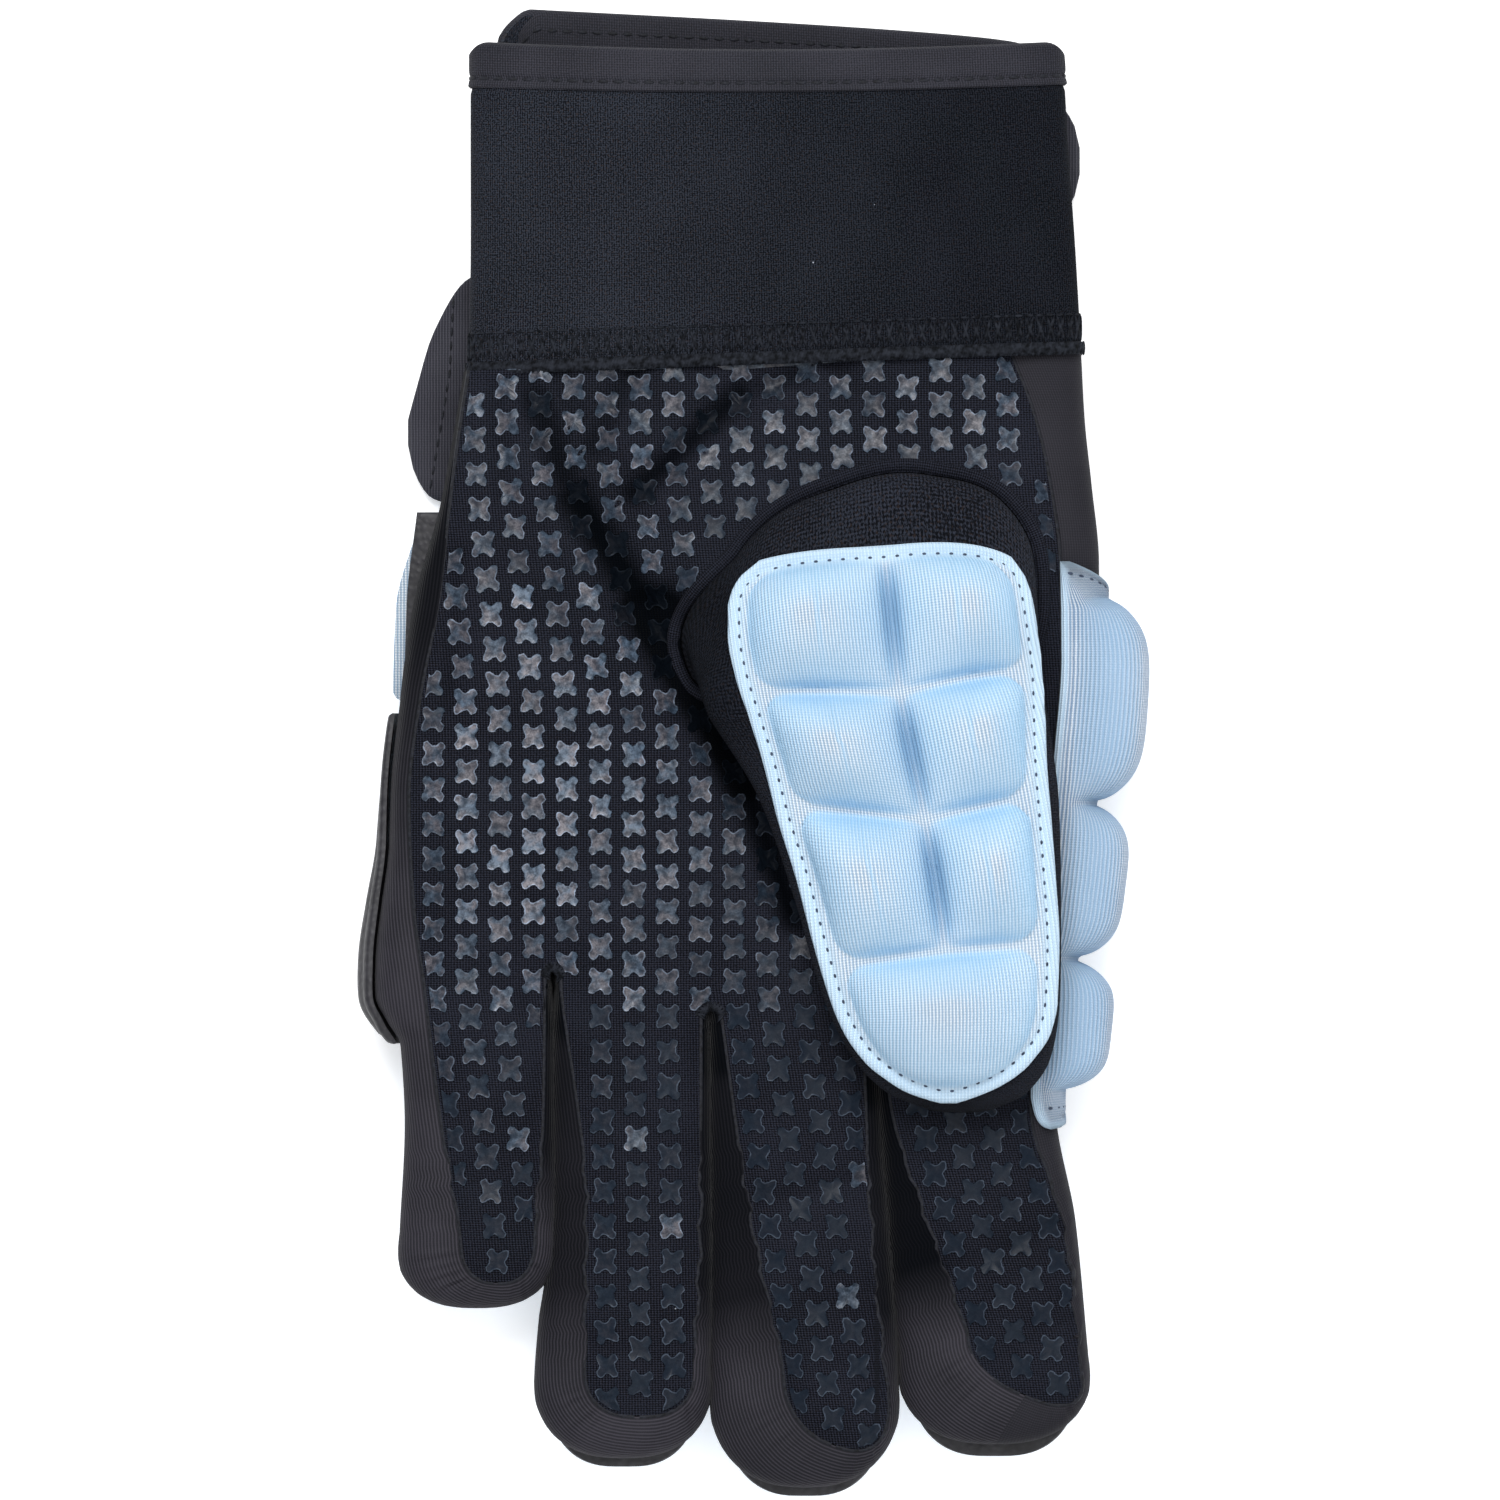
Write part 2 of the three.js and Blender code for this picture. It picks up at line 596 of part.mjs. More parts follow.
// Place and direction of a section of the thumb: 0 to 1 round the bend, 1 to 2 along the palm
function thumbSection(along) {
  const { y, z, height, square } = thumbCrease;
  if (along >= 1) {
    const last = thumbRows.at(-1).y;
    const here = lerp(y, last, along - 1);
    const column = (key) => at(thumbRows, 'y', here, key);
    const [x, halfWidth, low, high] = ['x', 'halfWidth', 'low', 'high'].map(column);
    return { y: here, z, angle: 90, x, halfWidth, low, high };
  }
  const angle = 90 * along;
  const across = (cosine(angle) / thumbRoot.reach) ** square;
  const high = (across + (sine(angle) / height) ** square) ** (-1 / square);
  const first = thumbRows[0];
  return {
    y,
    z,
    angle,
    x: lerp(thumbRoot.x, first.x, along),
    halfWidth: lerp(thumbRoot.halfWidth, first.halfWidth, along),
    low: lerp(thumbRoot.start, first.low, along),
    high,
  };
}

function thumbRing(section, inset) {
  const { x, y, z, angle, halfWidth, low, high } = section;
  return steps(THUMB_SIDES).slice(1).map((t) => {
    const out = (low + high) / 2 + ((high - low) / 2 - inset) * power(sine(360 * t), THUMB_SQUARE);
    const across = x + (halfWidth - inset) * power(cosine(360 * t), THUMB_SQUARE);
    return point(across, y + out * cosine(angle), z + out * sine(angle));
  });
}

function thumbSections(inset) {
  const root = thumbRing(thumbSection(0), inset).map((p) => point(p.x, p.y, p.z - thumbRoot.lead - inset));
  const bend = bendAngles.map((angle) => thumbRing(thumbSection(angle / 90), inset));
  const last = thumbRows.at(-1).y;
  const straight = thumbRows.map((row) => {
    const section = thumbSection(1 + (row.y - thumbCrease.y) / (last - thumbCrease.y));
    return thumbRing({ ...section, y: row.y + (row === thumbRows.at(-1) ? inset : 0) }, inset);
  });
  return [root, ...bend, ...straight];
}

function thumbShell() {
  return geometryOfSolid(solidOf(loft(thumbSections(0))).subtract(solidOf(loft(thumbSections(WALL)))));
}

// Where the top of the thumb lies over a place in plan
function thumbAlong(y) {
  const last = thumbRows.at(-1).y;
  if (y <= thumbCrease.y) return 1 + (y - thumbCrease.y) / (last - thumbCrease.y);
  let [low, high] = [0, 1];
  while (high - low > 1e-6) {
    const middle = (low + high) / 2;
    const section = thumbSection(middle);
    if (section.y + section.high * cosine(section.angle) > y) low = middle;
    else high = middle;
  }
  return (low + high) / 2;
}

function thumbTop(x, y) {
  const section = thumbSection(thumbAlong(y));
  const across = clamp(Math.abs((x - section.x) / section.halfWidth), 0, TOP_REACH);
  const half = (section.high - section.low) / 2;
  const out = section.low + half + half * (1 - across ** THUMB_SQUARE) ** (1 / THUMB_SQUARE);
  return point(x, section.y + out * cosine(section.angle), section.z + out * sine(section.angle));
}

function normalOf(surface, u, v) {
  const nearby = 0.2;
  const across = surface(u + nearby, v).sub(surface(u - nearby, v));
  const along = surface(u, v + nearby).sub(surface(u, v - nearby));
  return across.cross(along).normalize();
}

// Foam lumps

// Rise of a padded lump at a distance inside its edge, from 0 to 1 over the roll of the edge
function swell(distance, roll) {
  const t = clamp(distance / roll, 0, 1);
  return Math.sqrt(1 - (1 - t) ** 2);
}

// Places across a run of lumps where the surface bends
function lumpStations(lumps, roll) {
  return lumps.flatMap(({ from, to }) => {
    const bend = roll * BEND_SHARE;
    const count = Math.max(2, Math.round((Math.abs(to - from) - 2 * bend) / STATION));
    const turn = Math.sign(to - from) * bend;
    return [from, ...steps(count).map((t) => lerp(from + turn, to - turn, t)), to];
  });
}

function thumbPad() {
  const row = (y, key) => at(thumbPadRows, 'y', y, key);
  const ys = [thumbPadRows[0].y, ...lumpStations(thumbLumps, LUMP_ROLL), thumbPadRows.at(-1).y];
  const columns = (y) => {
    const [left, centre, right] = [row(y, 'left'), row(y, 'centre'), row(y, 'right')];
    const inner = Math.min(THUMB_MARGIN, (centre - left) * MARGIN_SHARE);
    const outer = Math.min(THUMB_MARGIN, (right - centre) * MARGIN_SHARE);
    const halves = [
      { from: left + inner, to: centre - HALF_CHANNEL },
      { from: centre + HALF_CHANNEL, to: right - outer },
    ];
    const roll = Math.min(LUMP_ROLL, (centre - left) / 2);
    return { xs: [left, ...lumpStations(halves, roll), right], halves, centre };
  };
  const liftedY = (x, y, centre) => (
    y + (x < centre ? row(y, 'liftLeft') * (centre - x) : row(y, 'liftRight') * (x - centre)));
  const rise = (x, y, halves) => Math.max(...thumbLumps.map(({ from, to, split, height }) => {
    const cells = split ? halves : [{ from: halves[0].from, to: halves[1].to }];
    const along = swell(from - y, LUMP_ROLL) * swell(y - to, LUMP_ROLL);
    return Math.max(...cells.map((cell) => (
      height * along * swell(x - cell.from, LUMP_ROLL) * swell(cell.to - x, LUMP_ROLL))));
  }));
  const sheet = (padded) => ys.map((y) => {
    const { xs, halves, centre } = columns(y);
    return xs.map((x) => {
      const planY = liftedY(x, y, centre);
      const lift = GAP + (padded ? FLANGE + rise(x, y, halves) : 0);
      return thumbTop(x, planY).addScaledVector(normalOf(thumbTop, x, planY), lift);
    });
  });
  return wallBetween(sheet(true), sheet(false));
}

function sidePad(name, side, pad) {
  const surface = (angle, y) => rollPoint(sidePair(name, side, y), angle, 0);
  const way = side === 'right' ? 1 : -1;
  const ends = [pad.rows[0].y, pad.rows[1].y];
  const tails = [pad.rows.at(-2).y, pad.rows.at(-1).y];
  const ys = [...ends, ...lumpStations(pad.lumps, LUMP_ROLL), ...tails].sort((a, b) => b - a);
  const rise = (angle, y) => Math.max(...pad.lumps.map(({ from, to, height }) => (
    height * swell(from - y, LUMP_ROLL) * swell(y - to, LUMP_ROLL)
    * swell(angle - pad.lowAngle, pad.rollAngle) * swell(pad.highAngle - angle, pad.rollAngle))));
  const sheet = (padded) => ys.map((y) => padShares.map((share) => {
    const angle = lerp(at(pad.rows, 'y', y, 'from'), at(pad.rows, 'y', y, 'to'), share);
    const lift = WRAP_GAP + (padded ? FLANGE + rise(angle, y) : 0);
    const normal = normalOf(surface, angle, y).multiplyScalar(way);
    return surface(angle, y).addScaledVector(normal, lift);
  }));
  return wallBetween(sheet(true), sheet(false));
}

// Padding under the back of the hand

function plate(rows, low, high) {
  const sheet = (z) => rows.map(({ y, left, right }) => [point(left, y, z), point(right, y, z)]);
  return wallBetween(sheet(high), sheet(low));
}

// Foam pad hanging from a flat top, pressed flat where it rests on the floor
function restingPad(rows, top, lumpRows, lumpShares, roll) {
  const stations = (lumps) => lumps.flatMap(({ from, to }) => {
    const bend = Math.sign(to - from) * Math.min(roll, Math.abs(to - from) / 2) * BEND_SHARE;
    return [from, from + bend, to - bend, to];
  });
  const ys = [rows[0].y, ...stations(lumpRows), rows.at(-1).y];
  const sheet = (padded) => ys.map((y) => {
    const [left, right] = [at(rows, 'y', y, 'left'), at(rows, 'y', y, 'right')];
    const cells = lumpShares.map((share) => ({
      from: lerp(left, right, share.from),
      to: lerp(left, right, share.to),
    }));
    return [left, ...stations(cells), right].map((x) => {
      const along = Math.max(...lumpRows.map(({ from, to }) => swell(from - y, roll) * swell(y - to, roll)));
      const across = Math.max(...cells.map(({ from, to }) => swell(x - from, roll) * swell(to - x, roll)));
      const pressed = clamp(Math.min(along, across) * PRESS, 0, 1);
      return point(x, y, top - (padded ? FLANGE + (top - FLANGE) * pressed : 0));
    });
  });
  return wallBetween(sheet(true), sheet(false));
}

// Outline of the padding under a finger, rounded at both ends
function fingerPadRows(name, inset) {
  const { rows, pad } = fingers[name];
  const row = (y, width) => {
    const [left, right] = [at(rows, 'y', y, 'left') + LIP_INSET, at(rows, 'y', y, 'right') - LIP_INSET];
    const half = width * (right - left) / 2 - inset;
    return { y, left: (left + right) / 2 - half, right: (left + right) / 2 + half };
  };
  const [root, tip] = [pad.rootY - inset, pad.tipY + inset];
  const start = padRounding.map(({ from, width }) => row(root - from, width));
  const end = padRounding.map(({ from, width }) => row(tip + from, width)).reverse();
  return [...start, row((root + tip) / 2, 1), ...end];
}

function fingerPad(name) {
  const rows = fingerPadRows(name, PAD_INSET);
  const [from, to] = [rows[0].y - PAD_MARGIN, rows.at(-1).y + PAD_MARGIN];
  const length = (from - to) / FINGER_LUMPS;
  const lumpRows = steps(FINGER_LUMPS).slice(0, -1).map((t, i) => ({
    from: from - i * length - CHANNEL / 2,
    to: from - (i + 1) * length + CHANNEL / 2,
  }));
  return restingPad(rows, BASE_TOP - LIP_THICKNESS - GAP, lumpRows, [fingerLumpWidth], FINGER_ROLL);
}

// Cuff, binding and wrist strap

function cuffPoint(turn, up, offset) {
  const column = (key) => at(cuffRows, 'up', up, key);
  const [x, halfWidth, low, high] = ['x', 'halfWidth', 'low', 'high'].map(column);
  const rise = power(sine(360 * turn), CUFF_SQUARE);
  const side = power(cosine(360 * turn), CUFF_SQUARE);
  const across = x + halfWidth * side;
  const { left, peak, right, height } = backEdge;
  const lean = across < peak ? (across - left) / (peak - left) : (right - across) / (right - peak);
  const top = CUFF_TOP + height * clamp(lean, 0, 1) * clamp(-2 * rise, 0, 1);
  const root = CUFF_ROOT + CUFF_SLANT * (across - x);
  const z = (low + high) / 2 + ((high - low) / 2 + offset) * rise;
  return point(across + offset * side, lerp(root, top, up), z);
}

const cuffTurns = steps(CUFF_SIDES).slice(1);
const upTo = (depth) => 1 - depth / (CUFF_TOP - CUFF_ROOT);

function cuffBody() {
  const ups = [0, 0.3, 0.6, upTo(BINDING_DEPTH), upTo(TAPE + GAP)];
  const sheet = (offset) => ups.map((up) => cuffTurns.map((turn) => cuffPoint(turn, up, offset)));
  return wallBetween(sheet(0), sheet(-CUFF_WALL), true);
}

// The binding is a channel folded over the top edge of the cuff
function cuffBinding() {
  const [low, crown] = [upTo(BINDING_DEPTH), upTo(TAPE)];
  const [outside, inside] = [GAP, -CUFF_WALL - GAP];
  const channel = [
    [outside + TAPE, low], [outside + TAPE, 1], [inside - TAPE, 1], [inside - TAPE, low],
    [inside, low], [inside, crown], [outside, crown], [outside, low],
  ];
  return loft(cuffTurns.map((turn) => channel.map(([offset, up]) => cuffPoint(turn, up, offset))), true);
}

function wristStrap() {
  return loft(strapRows.map(({ x, top, bottom, height }) => {
    const round = (top - bottom) * STRAP_ROUND;
    const under = [[bottom, 0.7], [bottom, 0.3], [bottom + round, 0], [top - round, 0]];
    const over = [[top, 0.3], [top, 0.7], [top - round, 1], [bottom + round, 1]];
    return [...under, ...over].map(([y, level]) => point(x, y, level * height));
  }));
}

// Assembly

const glove = new THREE.Group();

function add(name, geometry, finish) {
  const mesh = new THREE.Mesh(geometry, new THREE.MeshStandardMaterial({ metalness: 0, ...finish }));
  mesh.name = name;
  glove.add(mesh);
}

add('grip_panel', gripPanel(), finishes.grip);
add('back_panel', backPanel(), finishes.lycra);
strips.forEach((strip) => add(strip.name, stripBody(strip), finishes.lycra));
add('thumb_shell', thumbShell(), finishes.thumbMesh);
add('thumb_pad', thumbPad(), finishes.foamPad);
add('index_side_pad', sidePad('index', 'right', indexPad), finishes.foamPad);
add('little_side_pad', sidePad('little', 'left', littlePad), finishes.leather);
add('back_pad_base', plate(backBaseRows, BASE_TOP - BASE_THICKNESS, BASE_TOP), finishes.leather);
const backPadTop = BASE_TOP - BASE_THICKNESS - GAP;
const backPad = restingPad(backPadRows, backPadTop, backLumpRows, backLumpColumns, LUMP_ROLL);
add('back_pad', backPad, finishes.foamPad);
Object.keys(fingers).forEach((name) => {
  const base = plate(fingerPadRows(name, 0), BASE_TOP - LIP_THICKNESS, BASE_TOP);
  add(`${name}_pad_base`, base, finishes.leather);
  add(`${name}_finger_pad`, fingerPad(name), finishes.foamPad);
});
add('cuff', cuffBody(), finishes.neoprene);
add('cuff_binding', cuffBinding(), finishes.binding);
add('wrist_strap', wristStrap(), finishes.binding);

export default glove;
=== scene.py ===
# %% [markdown]
# Indoor hockey glove
# A left-hand glove lies palm up with its thumb folded over the palm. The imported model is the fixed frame:
# it has the true size and place of every piece, and this lesson dresses it. Every soft piece is made again
# as cloth, foam or leather in the same place, with the folds, seams, stitches and printed grip that plain
# solids leave out.

# %% Load the frame
import math

import bpy
import numpy as np
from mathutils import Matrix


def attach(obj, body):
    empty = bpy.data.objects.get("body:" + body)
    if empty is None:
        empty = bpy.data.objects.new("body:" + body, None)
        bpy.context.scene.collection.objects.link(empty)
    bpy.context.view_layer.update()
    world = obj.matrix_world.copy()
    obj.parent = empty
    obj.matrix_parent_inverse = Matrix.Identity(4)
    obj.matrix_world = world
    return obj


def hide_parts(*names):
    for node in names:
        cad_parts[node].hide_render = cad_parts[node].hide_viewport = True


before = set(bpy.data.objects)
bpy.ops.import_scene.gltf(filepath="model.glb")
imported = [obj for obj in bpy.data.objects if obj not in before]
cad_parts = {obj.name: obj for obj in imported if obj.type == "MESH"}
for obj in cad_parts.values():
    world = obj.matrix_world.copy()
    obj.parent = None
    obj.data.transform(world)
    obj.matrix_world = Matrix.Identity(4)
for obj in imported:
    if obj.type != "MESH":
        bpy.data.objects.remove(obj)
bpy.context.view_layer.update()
MM = 0.001

# %% [markdown]
# Camera, floor and light
# The photograph looks straight down on the glove from far away, so a long lens hangs above it. One pixel of
# the 1500 pixel frame is 0.17 mm on the glove. The floor is a plain pale light table: it glows a little, as
# in many product photographs, which keeps the shadows on it faint. Large soft lights stand in for the soft
# boxes of a small studio. The strongest one stands behind the cuff, so it shades the lower side of each
# foam lump and every fold, and two weaker ones keep the shadows open.

# %% Camera and floor
FRAME_WIDTH = 1500 * 0.17 * MM
FRAME_CENTRE = (-0.34 * MM, 0.34 * MM, 24 * MM)
CAMERA_DISTANCE = 2.6
SENSOR = 36
FLOOR_SIZE = 3.0

bpy.ops.object.select_all(action="DESELECT")
bpy.ops.object.camera_add(location=(FRAME_CENTRE[0], FRAME_CENTRE[1], FRAME_CENTRE[2] + CAMERA_DISTANCE))
camera = bpy.context.object
camera.name = "camera"
camera.data.sensor_width = SENSOR
camera.data.lens = SENSOR * CAMERA_DISTANCE / FRAME_WIDTH
bpy.context.scene.camera = camera
bpy.context.scene.view_settings.view_transform = "Standard"

bpy.ops.mesh.primitive_plane_add(size=FLOOR_SIZE, location=(0, 0, 0))
floor = bpy.context.object
floor.name = "floor"
paper = bpy.data.materials.new("pale_floor")
paper.use_nodes = True
tree = paper.node_tree
shader = tree.nodes["Principled BSDF"]
place = tree.nodes.new("ShaderNodeTexCoord")
grain = tree.nodes.new("ShaderNodeTexNoise")
grain.inputs["Scale"].default_value = 40
tree.links.new(place.outputs["Object"], grain.inputs["Vector"])
tint = tree.nodes.new("ShaderNodeMix")
tint.data_type = "RGBA"
tint.inputs[6].default_value = (0.93, 0.935, 0.94, 1)
tint.inputs[7].default_value = (0.97, 0.97, 0.97, 1)
tree.links.new(grain.outputs["Fac"], tint.inputs["Factor"])
tree.links.new(tint.outputs[2], shader.inputs["Base Color"])
shader.inputs["Roughness"].default_value = 0.9
shader.inputs["Specular IOR Level"].default_value = 0.1
shader.inputs["Emission Color"].default_value = (1, 1, 1, 1)
shader.inputs["Emission Strength"].default_value = 0.4
floor.data.materials.append(paper)
print("lens:", round(camera.data.lens, 1), "mm")

# %% Lights
LIGHTS = [
    {"name": "key_behind_cuff", "place": (-0.1, 0.8, 1.3), "size": 0.8, "power": 19.0},
    {"name": "overhead", "place": (0.1, 0.0, 1.4), "size": 1.1, "power": 6.5},
    {"name": "fill", "place": (0.2, -1.0, 0.9), "size": 0.9, "power": 4.2},
]


def add_light(name, place, size, power):
    """A square soft box that points at the middle of the glove."""
    bpy.ops.object.light_add(type="AREA", location=place)
    light = bpy.context.object
    light.name = name
    light.data.size = size
    light.data.energy = power
    light.visible_camera = False
    aim = -light.location
    light.rotation_euler = aim.to_track_quat("-Z", "Y").to_euler()


for row in LIGHTS:
    add_light(**row)
world = bpy.data.worlds.new("studio")
bpy.context.scene.world = world
world.use_nodes = True
world.node_tree.nodes["Background"].inputs["Color"].default_value = (0.94, 0.96, 1.0, 1)
world.node_tree.nodes["Background"].inputs["Strength"].default_value = 0.44
print("lights:", len(LIGHTS))

# %% [markdown]
# The pattern of the glove
# A glove is cut from a paper pattern: the outline of the hand, with the height of the palm above the table.
# The same few rows shaped the solids, so they are written here again in millimetres. A smooth curve through
# each column gives the edge anywhere along the hand.

# %% Heights and side edges
HEIGHTS = {
    "y": [70, 56, 42, 20, -50, -100, -128],
    "top": [20.4, 21.8, 23.2, 24.0, 24.0, 22.8, 21.4],
    "bottom": [5.2, 6.4, 9.8, 9.8, 9.8, 9.8, 9.8],
}
EDGE_DROP = 2.6
EDGE_ROLL = 4
SIDE_SQUARE = 2.3
BACK_INSET = 4
LITTLE_EDGE = {
    "y": [65, 53, 42, 26, 9, -8, -25, -40, -62, -82],
    "outer": [-49.2, -51.2, -53.2, -57.6, -60.0, -61.2, -60.8, -60.0, -58.9, -60.0],
    "seam": [-48.2, -50.0, -51.4, -53.2, -56.4, -58.3, -57.6, -55.7, -53.0, -49.6],
}
INDEX_EDGE = {
    "y": [68.6, 57, 46, 32, 16, 0, -16, -32, -40, -60, -80, -103],
    "outer": [56.2, 56.8, 57.9, 59.2, 59.0, 58.0, 56.4, 54.4, 53.4, 51.8, 55.2, 57.4],
    "seam": [43.9, 48.2, 50.7, 52.4, 52.6, 51.4, 50.0, 48.4, 47.6, 47.4, 53.4, 56.2],
}

# %% Fingers and the crotches between them
FINGERS = {
    "little": {
        "rows": {"y": [-40, -62, -82], "left": [-60.0, -58.9, -60.0], "right": [-34.4, -34.3, -33.9],
                 "seam_left": [-55.7, -53.0, -49.6], "seam_right": [-35.3, -35.6, -37.0]},
        "tip": {"y": -94, "seam_y": -90.4, "skew": 0, "square": 2.6},
        "pad": {"root": -50, "tip": -93.2},
    },
    "ring": {
        "rows": {"y": [-40, -78, -105], "left": [-33.3, -33.2, -36.6], "right": [-7.8, -7.4, -7.4],
                 "seam_left": [-32.5, -28.2, -28.4], "seam_right": [-8.7, -8.8, -9.9]},
        "tip": {"y": -119.6, "seam_y": -113.2, "skew": 0, "square": 2.5},
        "pad": {"root": -56, "tip": -122.2},
    },
    "middle": {
        "rows": {"y": [-40, -78, -108], "left": [-6.8, -6.5, -6.6], "right": [19.6, 22.4, 24.6],
                 "seam_left": [-5.8, -0.6, 5.4], "seam_right": [18.6, 20.2, 23.2]},
        "tip": {"y": -124.6, "seam_y": -118.2, "skew": -0.34, "square": 2.4},
        "pad": {"root": -60, "tip": -127.2},
    },
    "index": {
        "rows": {"y": [-40, -60, -80, -103],
                 "left": [20.8, 22.2, 23.9, 25.5], "right": [53.4, 51.8, 55.2, 57.4],
                 "seam_left": [21.8, 23.6, 29.2, 36.8], "seam_right": [47.6, 47.4, 53.4, 56.2]},
        "tip": {"y": -117.2, "seam_y": -109.6, "skew": -0.42, "square": 2.5},
        "pad": {"root": -64, "tip": -120.4},
    },
}
CROTCHES = [
    {"left": "little", "right": "ring", "y": -38, "seam_rise": 1.6},
    {"left": "ring", "right": "middle", "y": -44.7, "seam_rise": 1.6},
    {"left": "middle", "right": "index", "y": -50, "seam_rise": 1.6},
]


# %% A smooth curve through a column
def along(table, column, place):
    """A column of a table at places down its first column, as a smooth curve that never overshoots."""
    key = next(iter(table))
    order = np.argsort(table[key])
    xs = np.array(table[key], float)[order]
    ys = np.array(table[column], float)[order]
    slopes = np.diff(ys) / np.diff(xs)
    same_way = slopes[:-1] * slopes[1:] > 0
    total = np.where(same_way, slopes[:-1] + slopes[1:], 1)
    inner = np.where(same_way, 2 * slopes[:-1] * slopes[1:] / total, 0)
    tangents = np.concatenate([slopes[:1], inner, slopes[-1:]])
    place = np.clip(place, xs[0], xs[-1])
    i = np.clip(np.searchsorted(xs, place, side="right") - 1, 0, len(xs) - 2)
    span = xs[i + 1] - xs[i]
    t = (place - xs[i]) / span
    return ((1 + 2 * t) * (1 - t) ** 2 * ys[i] + t * (1 - t) ** 2 * span * tangents[i]
            + t ** 2 * (3 - 2 * t) * ys[i + 1] - t ** 2 * (1 - t) * span * tangents[i + 1])


def power(value, square):
    """Turns a sine or cosine into that of a squared-off oval."""
    return np.sign(value) * np.abs(value) ** (2 / square)


def sine(degrees):
    return np.sin(np.radians(degrees))


def cosine(degrees):
    return np.cos(np.radians(degrees))


def ramp(value, start, end):
    """0 where a value has not reached start, 1 from end on, and straight between them."""
    return np.clip((value - start) / (end - start), 0, 1)


def unit(vectors):
    """Vectors at length one."""
    return vectors / np.maximum(np.linalg.norm(vectors, axis=-1, keepdims=True), 1e-9)


# %% [markdown]
# Seam lines
# Between the palm sheet and the back sheet runs a strip of stretch fabric, round every finger. Each point
# of its path has three places in plan: the widest line of the glove, the palm seam inside it and the back
# seam inside it. A path is an array of those three, for a side of a finger, half a fingertip or the arc of
# a crotch. Near the fingertips the thread pulls the palm seam into a slight wave.

# %% Paths of the side strips
SIDE_TABLES = {("little", "left"): LITTLE_EDGE, ("index", "right"): INDEX_EDGE}


def edge_at(name, side, y):
    """The widest line and the palm seam at one side of a finger or of the hand above it."""
    table = SIDE_TABLES.get((name, side))
    if table:
        return along(table, "outer", y), along(table, "seam", y)
    rows = FINGERS[name]["rows"]
    return along(rows, side, y), along(rows, "seam_" + side, y)


WAVY_FROM = -64
WAVY_FADE = 8
SEAM_WAVE = 0.3
WAVE_TURNS = (0.75, 1.9)
SKEW_GROWTH = 2


def side_places(name, side, y):
    """The three places in plan at one side of a finger, or of the hand above it, at heights y."""
    rows, tip = FINGERS[name]["rows"], FINGERS[name]["tip"]
    outer, seam = edge_at(name, side, y)
    first, last = rows["y"][0], rows["y"][-1]
    pulled = ramp(y, WAVY_FROM, WAVY_FROM - WAVY_FADE) * ramp(y, last, last + 6)
    wave = np.sin(WAVE_TURNS[0] * y + len(name + side)) + 0.6 * np.sin(WAVE_TURNS[1] * y + 1)
    seam = seam + SEAM_WAVE * pulled * wave
    slant = ramp(y, first, last) ** SKEW_GROWTH
    middle = (along(rows, "seam_left", y) + along(rows, "seam_right", y)) / 2
    seam_y = y + tip["skew"] * slant * (seam - middle)
    inset = BACK_INSET if side == "left" else -BACK_INSET
    pairs = [np.stack([outer, y], -1), np.stack([seam, seam_y], -1), np.stack([outer + inset, y], -1)]
    return np.stack(pairs, -2)


def side_path(name, side, start, count):
    """Down one side, from a height to the start of the fingertip."""
    return side_places(name, side, np.linspace(start, FINGERS[name]["rows"]["y"][-1], count))


def tip_path(name, side, count):
    """Half a fingertip, from its side to its middle."""
    rows, tip = FINGERS[name]["rows"], FINGERS[name]["tip"]
    y, left, right = rows["y"][-1], rows["left"][-1], rows["right"][-1]
    seam_left, seam_right = rows["seam_left"][-1], rows["seam_right"][-1]
    way = -1 if side == "left" else 1
    turn = np.linspace(0, 1, count + 1)[1:]
    across = power(cosine(90 * turn), tip["square"])
    down = power(sine(90 * turn), tip["square"])

    def ring(inset):
        x = (left + right) / 2 + way * across * ((right - left) / 2 - inset)
        return np.stack([x, y - down * (y - tip["y"] - inset)], -1)

    seam_half = way * across * (seam_right - seam_left) / 2
    seam_x = (seam_left + seam_right) / 2 + seam_half
    seam = np.stack([seam_x, y + tip["skew"] * seam_half - down * (y - tip["seam_y"])], -1)
    return np.stack([ring(0), seam, ring(BACK_INSET)], 1)


def crotch_path(crotch, count):
    """The arc between two fingers."""
    a = side_path(crotch["left"], "right", crotch["y"], 2)[0]
    b = side_path(crotch["right"], "left", crotch["y"], 2)[0]
    t = np.linspace(0, 1, count + 2)[1:-1]
    rises = [(b[0][0] - a[0][0]) / 2, crotch["seam_rise"], BACK_INSET]
    lines = []
    for start, end, rise in zip(a, b, rises):
        x = start[0] + (end[0] - start[0]) * (1 - cosine(180 * t)) / 2
        y = start[1] + (end[1] - start[1]) * t + rise * sine(180 * t)
        lines.append(np.stack([x, y], -1))
    return np.stack(lines, 1)


SIDE_COUNT = 90
LONG_COUNT = 200
TIP_COUNT = 30
CROTCH_COUNT = 14
STRIPS = {"side_wall_little": np.concatenate([
    side_path("little", "left", LITTLE_EDGE["y"][0], LONG_COUNT), tip_path("little", "left", TIP_COUNT)])}
for crotch in CROTCHES:
    STRIPS["fourchette_" + crotch["left"] + "_" + crotch["right"]] = np.concatenate([
        tip_path(crotch["left"], "right", TIP_COUNT)[::-1],
        side_path(crotch["left"], "right", crotch["y"], SIDE_COUNT)[::-1],
        crotch_path(crotch, CROTCH_COUNT),
        side_path(crotch["right"], "left", crotch["y"], SIDE_COUNT),
        tip_path(crotch["right"], "left", TIP_COUNT)])
STRIPS["side_wall_index"] = np.concatenate([
    tip_path("index", "right", TIP_COUNT)[::-1],
    side_path("index", "right", INDEX_EDGE["y"][0], LONG_COUNT)[::-1]])
print("strips:", {name: len(path) for name, path in STRIPS.items()})

